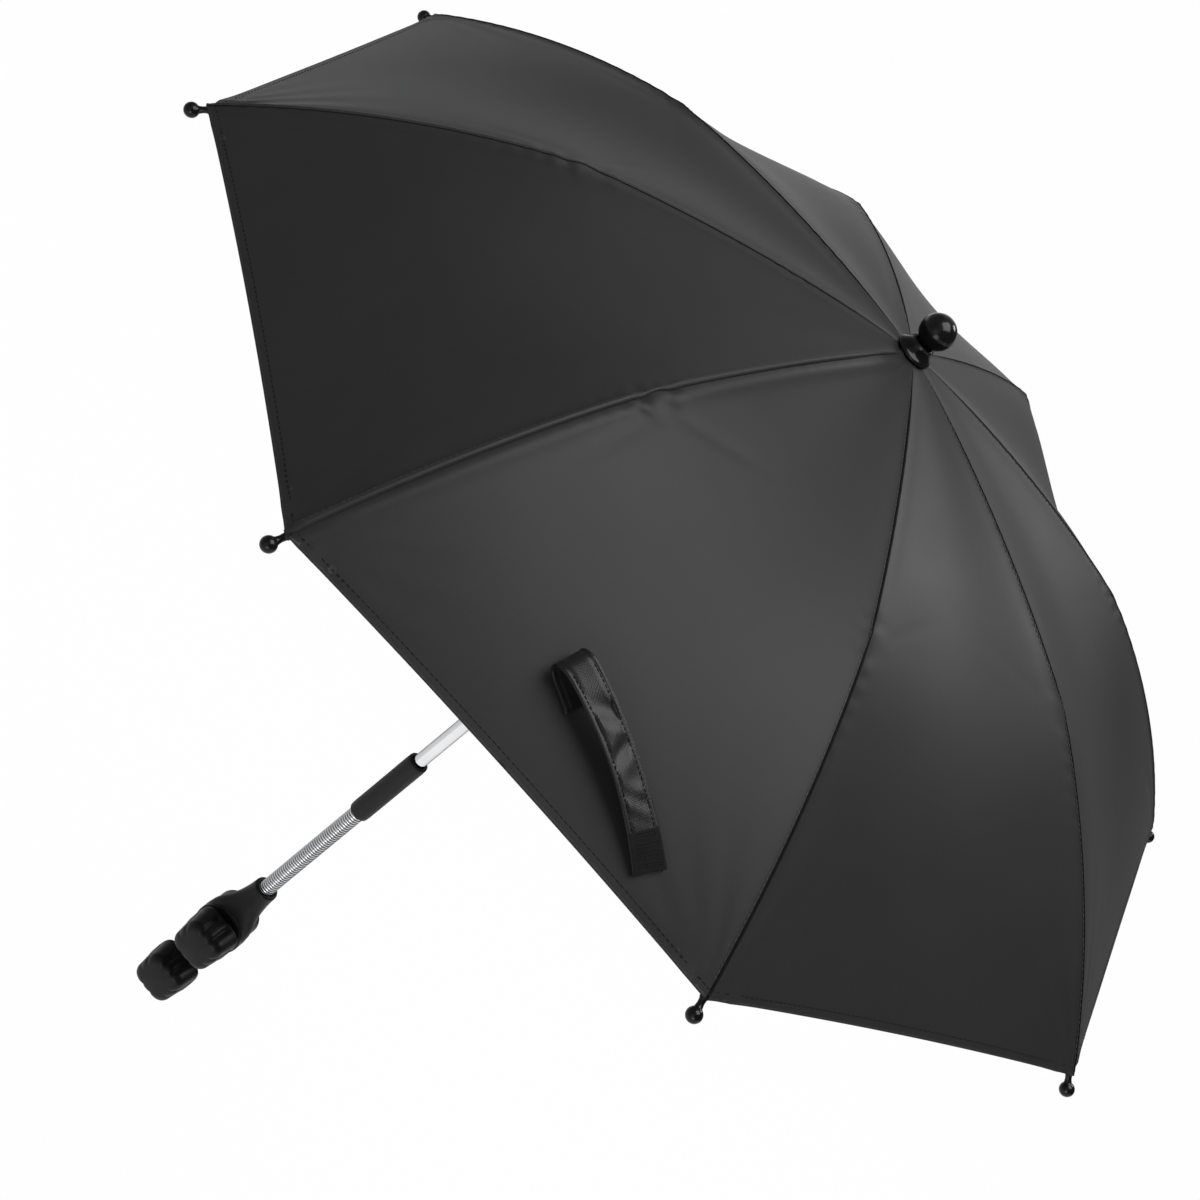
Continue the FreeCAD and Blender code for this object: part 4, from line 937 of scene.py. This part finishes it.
# gooseneck: one wire wound in a close coil, cut into a span for each joint of the neck
neck = {"foot": 116.7, "top": 235.3, "turns": 53, "radius": 4.9, "wire": 0.85, "armTop": 124.0,
        "sleeveFoot": 228.0, "joints": 6, "stepsPerTurn": 30}
neckStep = (neck["sleeveFoot"] - neck["armTop"]) / neck["joints"]
neckBodies = ["swivel_arm"] + ["neck_core_%d" % k for k in range(1, neck["joints"])] + ["pole"]
perHeight = neck["turns"] / (neck["top"] - neck["foot"])
for k in range(neck["joints"]):
    low = neck["foot"] if k == 0 else neck["armTop"] + neckStep * k
    high = neck["top"] if k == neck["joints"] - 1 else neck["armTop"] + neckStep * (k + 1)
    span = grow("gooseneckSpan%d" % (k + 1), "coil", {
        "Turns": (high - low) * perHeight, "Radius": neck["radius"] * mm, "Wire": neck["wire"] * mm,
        "Foot": low * mm, "Rise": (high - low) * mm, "Steps": neck["stepsPerTurn"],
        "Start Angle": 2 * pi * (low - neck["foot"]) * perHeight, "Finish": finishes["coil"]})
    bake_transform(span)
    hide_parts("gooseneck_coil")
print("gooseneck wound")

# swivel arm: a flared paddle on the pivot's disc
arm = {
    "pivot": 76.0, "steps": 72, "foot": (0, -6.1, 70.0), "head": (0, 0, 132.5), "square": 0.72, "flareRow": 5,
    # height, half width, half depth, middle in Y
    "paddle": [
        (70.0, 17.6, 5.0, -6.1), (78.0, 18.2, 5.5, -6.1), (84.0, 18.0, 5.8, -6.1), (88.0, 17.5, 5.9, -6.1),
        (92.0, 16.4, 6.0, -6.0), (96.0, 14.8, 6.3, -5.4), (100.0, 13.0, 6.7, -4.6), (105.0, 11.3, 7.3, -3.3),
        (110.0, 10.2, 7.9, -2.0), (115.0, 9.5, 8.5, -0.9), (119.5, 9.15, 8.85, -0.25),
        (122.6, 9.0, 9.0, 0.0)],
    # height and radius
    "socket": [(123.6, 8.75), (124.0, 8.2), (124.0, 6.6), (123.6, 6.15), (115.0, 6.15), (115.0, 3.6),
               (131.6, 3.6)],
    # radius and height
    "disc": [(3.2, 0.15), (18.5, 0.15), (18.5, 12.05), (15.4, 12.05), (15.0, 11.4), (9.4, 11.4), (9.0, 12.05),
             (3.2, 12.05)],
    "discRound": 1.2,
}


def smoothRows(rows, between=4):
    # the rows with more between them, on a smooth curve through all
    rows = [Vector(row) for row in rows]
    result = []
    for k in range(len(rows) - 1):
        a, b, c, d = rows[max(0, k - 1)], rows[k], rows[k + 1], rows[min(len(rows) - 1, k + 2)]
        for step in range(between):
            t = step / between
            result.append((b * 2 + (c - a) * t + (a * 2 - b * 5 + c * 4 - d) * t ** 2
                           + (b * 3 - a - c * 3 + d) * t ** 3) * 0.5)
    return result + [rows[-1]]


def armMesh():
    # the paddle is squarish, and round again at its collar and socket
    flare, collar = arm["paddle"][arm["flareRow"]][0], arm["paddle"][-1][0]
    rows = []
    for height, wide, deep, middle in smoothRows(arm["paddle"]):
        rounded = min(1.0, max(0.0, (height - flare) / (collar - flare)))
        rows.append((height, wide, deep, middle, arm["square"] + (1 - arm["square"]) * rounded))
    rows += [(height, radius, radius, 0.0, 1.0) for height, radius in arm["socket"]]
    rings = [[Vector(arm["foot"]) * mm]]
    for height, wide, deep, middle, power in rows:
        ring = [[copysign(abs(turn) ** power, turn) for turn in turns] for turns in circle(arm["steps"])]
        rings.append([Vector((x * wide, y * deep + middle, height)) * mm for x, y in ring])
    return ringMesh(rings + [[Vector(arm["head"]) * mm]])


discOutline = roundCorners(arm["disc"], arm["discRound"]) + arm["disc"][:1]
disc = latheMesh(discOutline, (0, 0, arm["pivot"]), (0, -1, 0), arm["steps"])
swivel = joinTo(newPiece("swivelArm", *armMesh(), "plastic"), newPiece("swivelDisc", *disc, "plastic"))
settle(swivel, "swivel_arm", "black_plastic", "swivel_arm")

# knobs: rounded squares with two flutes on each side, on a round neck
knob = {
    "half": 17.5, "length": 24.0, "neck": 6.5, "neckLength": 5.0, "crown": 6.4, "flute": 2.0,
    "fluteDepth": 1.8, "spacing": 10.0, "corner": 3.7, "taper": 0.07, "dome": 0.6, "steps": 160, "bore": 3.0,
    "neckEase": 0.4, "neckGap": 0.6, "sideRows": 5, "crownArc": (9, 91, 9), "crownFade": 0.75,
    # piece, seat in Y and height
    "seats": {"pivot_knob": ("pivotKnob", -12.35, 76.0), "jaw_knob": ("jawKnob", -7.3, 24.0)},
    # the skirt's height, scale and flute depth, and the same for the dome with its share below the top
    "skirt": [(0.0, 0.62, 0.0), (0.05, 0.84, 0.0), (0.4, 0.95, 0.0), (1.1, 0.99, 0.0), (2.0, 1.0, 0.0),
              (2.9, 0.995, 0.15), (3.6, 0.985, 0.6), (4.4, 0.98, 1.0)],
    "domeRows": [(0.5, 0.42, 0.1), (0.2, 0.28, 0.0), (0.0, 0.12, 0.0)],
}


def knobRadius(c, s, depth):
    c, s, n = abs(c), abs(s), knob["corner"]
    radius = knob["half"] / (c ** n + s ** n) ** (1 / n)
    aside = radius * min(c, s)
    return radius - depth * knob["fluteDepth"] * bell(aside - knob["spacing"] / 2, knob["flute"])


def knobRows():
    # place along, scale of the rounded square and its flute depth; on the neck None and a radius
    body, top, neckRadius = knob["neckLength"], knob["neckLength"] + knob["length"], knob["neck"]
    ease = knob["neckEase"]
    rows = [(0.0, None, knob["bore"]), (0.0, None, neckRadius - ease), (ease, None, neckRadius),
            (body - knob["neckGap"], None, neckRadius)]
    rows += [(body + along, scale, depth) for along, scale, depth in knob["skirt"]]
    foot, full, _ = rows[-1]
    crownFoot = top - knob["crown"] - knob["dome"]
    for k in range(1, knob["sideRows"] + 1):
        t = k / knob["sideRows"]
        rows.append((foot + (crownFoot - foot) * t, full - knob["taper"] * t, 1.0))
    for angle in [radians(degrees) for degrees in range(*knob["crownArc"])]:
        narrowed = knob["crown"] / knob["half"] * (1 - cos(angle))
        rows.append((crownFoot + knob["crown"] * sin(angle), full - knob["taper"] - narrowed,
                     1.0 - knob["crownFade"] * sin(angle) ** 2))
    return rows + [(top - knob["dome"] * share, scale, depth) for share, scale, depth in knob["domeRows"]]


def knobMesh(seatAt, heightAt):
    rings = [[Vector((0, seatAt, heightAt)) * mm]]
    for along, scale, extra in knobRows():
        ring = []
        for c, s in circle(knob["steps"]):
            radius = extra if scale is None else knobRadius(c, s, extra) * scale
            ring.append(Vector((radius * c, seatAt - along, heightAt + radius * s)) * mm)
        rings.append(ring)
    return ringMesh(rings + [[Vector((0, seatAt - knob["neckLength"] - knob["length"], heightAt)) * mm]])


for node, (name, seatAt, heightAt) in knob["seats"].items():
    piece = newPiece(name, *knobMesh(seatAt, heightAt), "plastic")
    settle(piece, node, "black_plastic", node)
print("arm and knobs made")

# the CAD shapes of the clamp, the runner and the notch with eased edges
easedNodes = {"clamp_block": ("clampBlock", "plastic", 1.1, "black_plastic"),
              "fixed_jaw": ("fixedJaw", "chrome", 0.35, "chrome"),
              "moving_jaw": ("movingJaw", "chrome", 0.35, "chrome"),
              "fixed_pad": ("fixedPad", "rubber", 0.6, "black_rubber"),
              "moving_pad": ("movingPad", "rubber", 0.6, "black_rubber"),
              "jaw_washer": ("jawWasher", "plastic", 0.4, "black_plastic"),
              "runner": ("runnerCrown", "plastic", 0.4, "black_plastic"),
              "top_notch": ("topNotch", "plastic", 0.3, "black_plastic"),
              "clamp_nuts": ("clampNuts", "steel", 0.35, "bright_steel")}
for node, (name, finish, width, slot) in easedNodes.items():
    easedCopy(node, name, finish, width, slot)

# CAD nodes whose shapes are right keep them and get a finish
keptNodes = {
    "chrome": ["pole"],
    "steel": ["catch_spring", "jaw_pin", "jaw_screw", "pivot_screw"] + neckBodies[1:-1],
    "ribSteel": ["%s_%d" % (kind, k) for kind in ("inner_rib", "outer_rib", "stretcher")
                 for k in range(1, canopy["ribs"] + 1)],
}
for finish, names in keptNodes.items():
    for node in names:
        mesh = frame["nodes"][node].data
        mesh.materials.clear()
        mesh.materials.append(finishes[finish])
print("clamp and frame finished")

# studio: a pale floor as far below as a pram holds the clamp above the ground, and soft lamps
studio = {
    "floor": -0.75, "floorSize": 30.0, "floorTone": 0.92, "floorRough": 0.9, "glow": 0.985, "ambient": 0.28,
    # x and y ranges and depths of the painted dark reflections in the floor's glow
    "dimLeft": (-1.0, -0.6), "dimFar": (2.0, 3.0), "dimRight": (0.25, 0.6), "dimNear": (0.8, 1.6),
    "leftReflectionDim": 0.75, "rightReflectionDim": 0.96,
    "sky": (0.1, 0.6, 1.0, 0.35), "skyRight": (0.05, 0.28, 1.0, 0.05), "skyLeft": (-0.50, -0.36, 0.35, 1.0),
    "lampAim": (0, 0, 0.55),
    # place, power in watts, width
    "lamps": {"frontLamp": ((0.75, -2.4, 0.45), 13.0, 1.1), "backLamp": ((1.0, 1.9, 2.2), 17.0, 0.7),
              "topLamp": ((0.28, -0.2, 2.7), 54.0, 1.65)},
}
paleFloor = bpy.data.materials.new("paleFloor")
paleFloor.use_nodes = True
size = studio["floorSize"]
corners = [(x * size, y * size, studio["floor"]) for x, y in ((-1, -1), (1, -1), (1, 1), (-1, 1))]
floor = newPiece("studioFloor", corners, [(0, 1, 2, 3)], None, smooth=False)
floor.data.materials.append(paleFloor)
tree = paleFloor.node_tree
floorShader = tree.nodes["Principled BSDF"]
tone = studio["floorTone"]
setInputs(tree, floorShader, {"Base Color": (tone, tone, tone, 1.0), "Roughness": studio["floorRough"]})
glow = addNode(tree, "ShaderNodeEmission")
seen = addNode(tree, "ShaderNodeLightPath").outputs
x, y, _ = partsOf(tree, addNode(tree, "ShaderNodeTexCoord").outputs["Object"])
# painted reflection: only in reflections, the floor's glow is dimmer on the near left and the far right, for
# the darker reflections that the metal and the far panels show
right = sumNode(tree, "MULTIPLY", rangeNode(tree, x, *studio["dimRight"], 0.0, studio["rightReflectionDim"]),
                rangeNode(tree, y, *studio["dimNear"], 0.0, 1.0))
left = sumNode(tree, "MULTIPLY", rangeNode(tree, x, *studio["dimLeft"], studio["leftReflectionDim"], 0.0),
               rangeNode(tree, y, *studio["dimFar"], 1.0, 0.0))
kept = sumNode(tree, "SUBTRACT", 1.0, sumNode(tree, "MAXIMUM", left, right))
bounced = sumNode(tree, "MAXIMUM", seen["Is Glossy Ray"], seen["Is Transmission Ray"])
shown = sumNode(tree, "MAXIMUM", seen["Is Camera Ray"], sumNode(tree, "MULTIPLY", bounced, kept))
mixed = addNode(tree, "ShaderNodeMixShader", {
    0: sumNode(tree, "MULTIPLY", shown, studio["glow"]), 1: floorShader.outputs[0], 2: glow.outputs[0]})
setInputs(tree, tree.nodes["Material Output"], {0: mixed.outputs[0]})

world = bpy.data.worlds.new("studioWorld")
scene.world = world
world.use_nodes = True
tree = world.node_tree
seen = addNode(tree, "ShaderNodeLightPath").outputs
x, _, z = partsOf(tree, addNode(tree, "ShaderNodeTexCoord").outputs["Generated"])
# white at the horizon in front and behind, darker overhead and to the sides
sky = rangeNode(tree, z, *studio["sky"])
for side in ("skyRight", "skyLeft"):
    sky = sumNode(tree, "MULTIPLY", sky, rangeNode(tree, x, *studio[side]))
bounced = sumNode(tree, "MAXIMUM", seen["Is Glossy Ray"], seen["Is Transmission Ray"])
level = rangeNode(tree, sumNode(tree, "MAXIMUM", seen["Is Camera Ray"], bounced), 0.0, 1.0, studio["ambient"],
                  sumNode(tree, "MAXIMUM", sky, seen["Is Camera Ray"]))
setInputs(tree, tree.nodes["Background"], {"Color": (1.0, 1.0, 1.0, 1.0), "Strength": level})

for name, (place, power, width) in studio["lamps"].items():
    lamp = bpy.data.objects.new(name, bpy.data.lights.new(name, "AREA"))
    lamp.data.energy = power
    lamp.data.size = width
    lamp.location = place
    lamp.rotation_mode = "QUATERNION"
    lamp.rotation_quaternion = facing(place, studio["lampAim"])
    scene.collection.objects.link(lamp)
scene.view_settings.view_transform = "Standard"
print("studio lit")
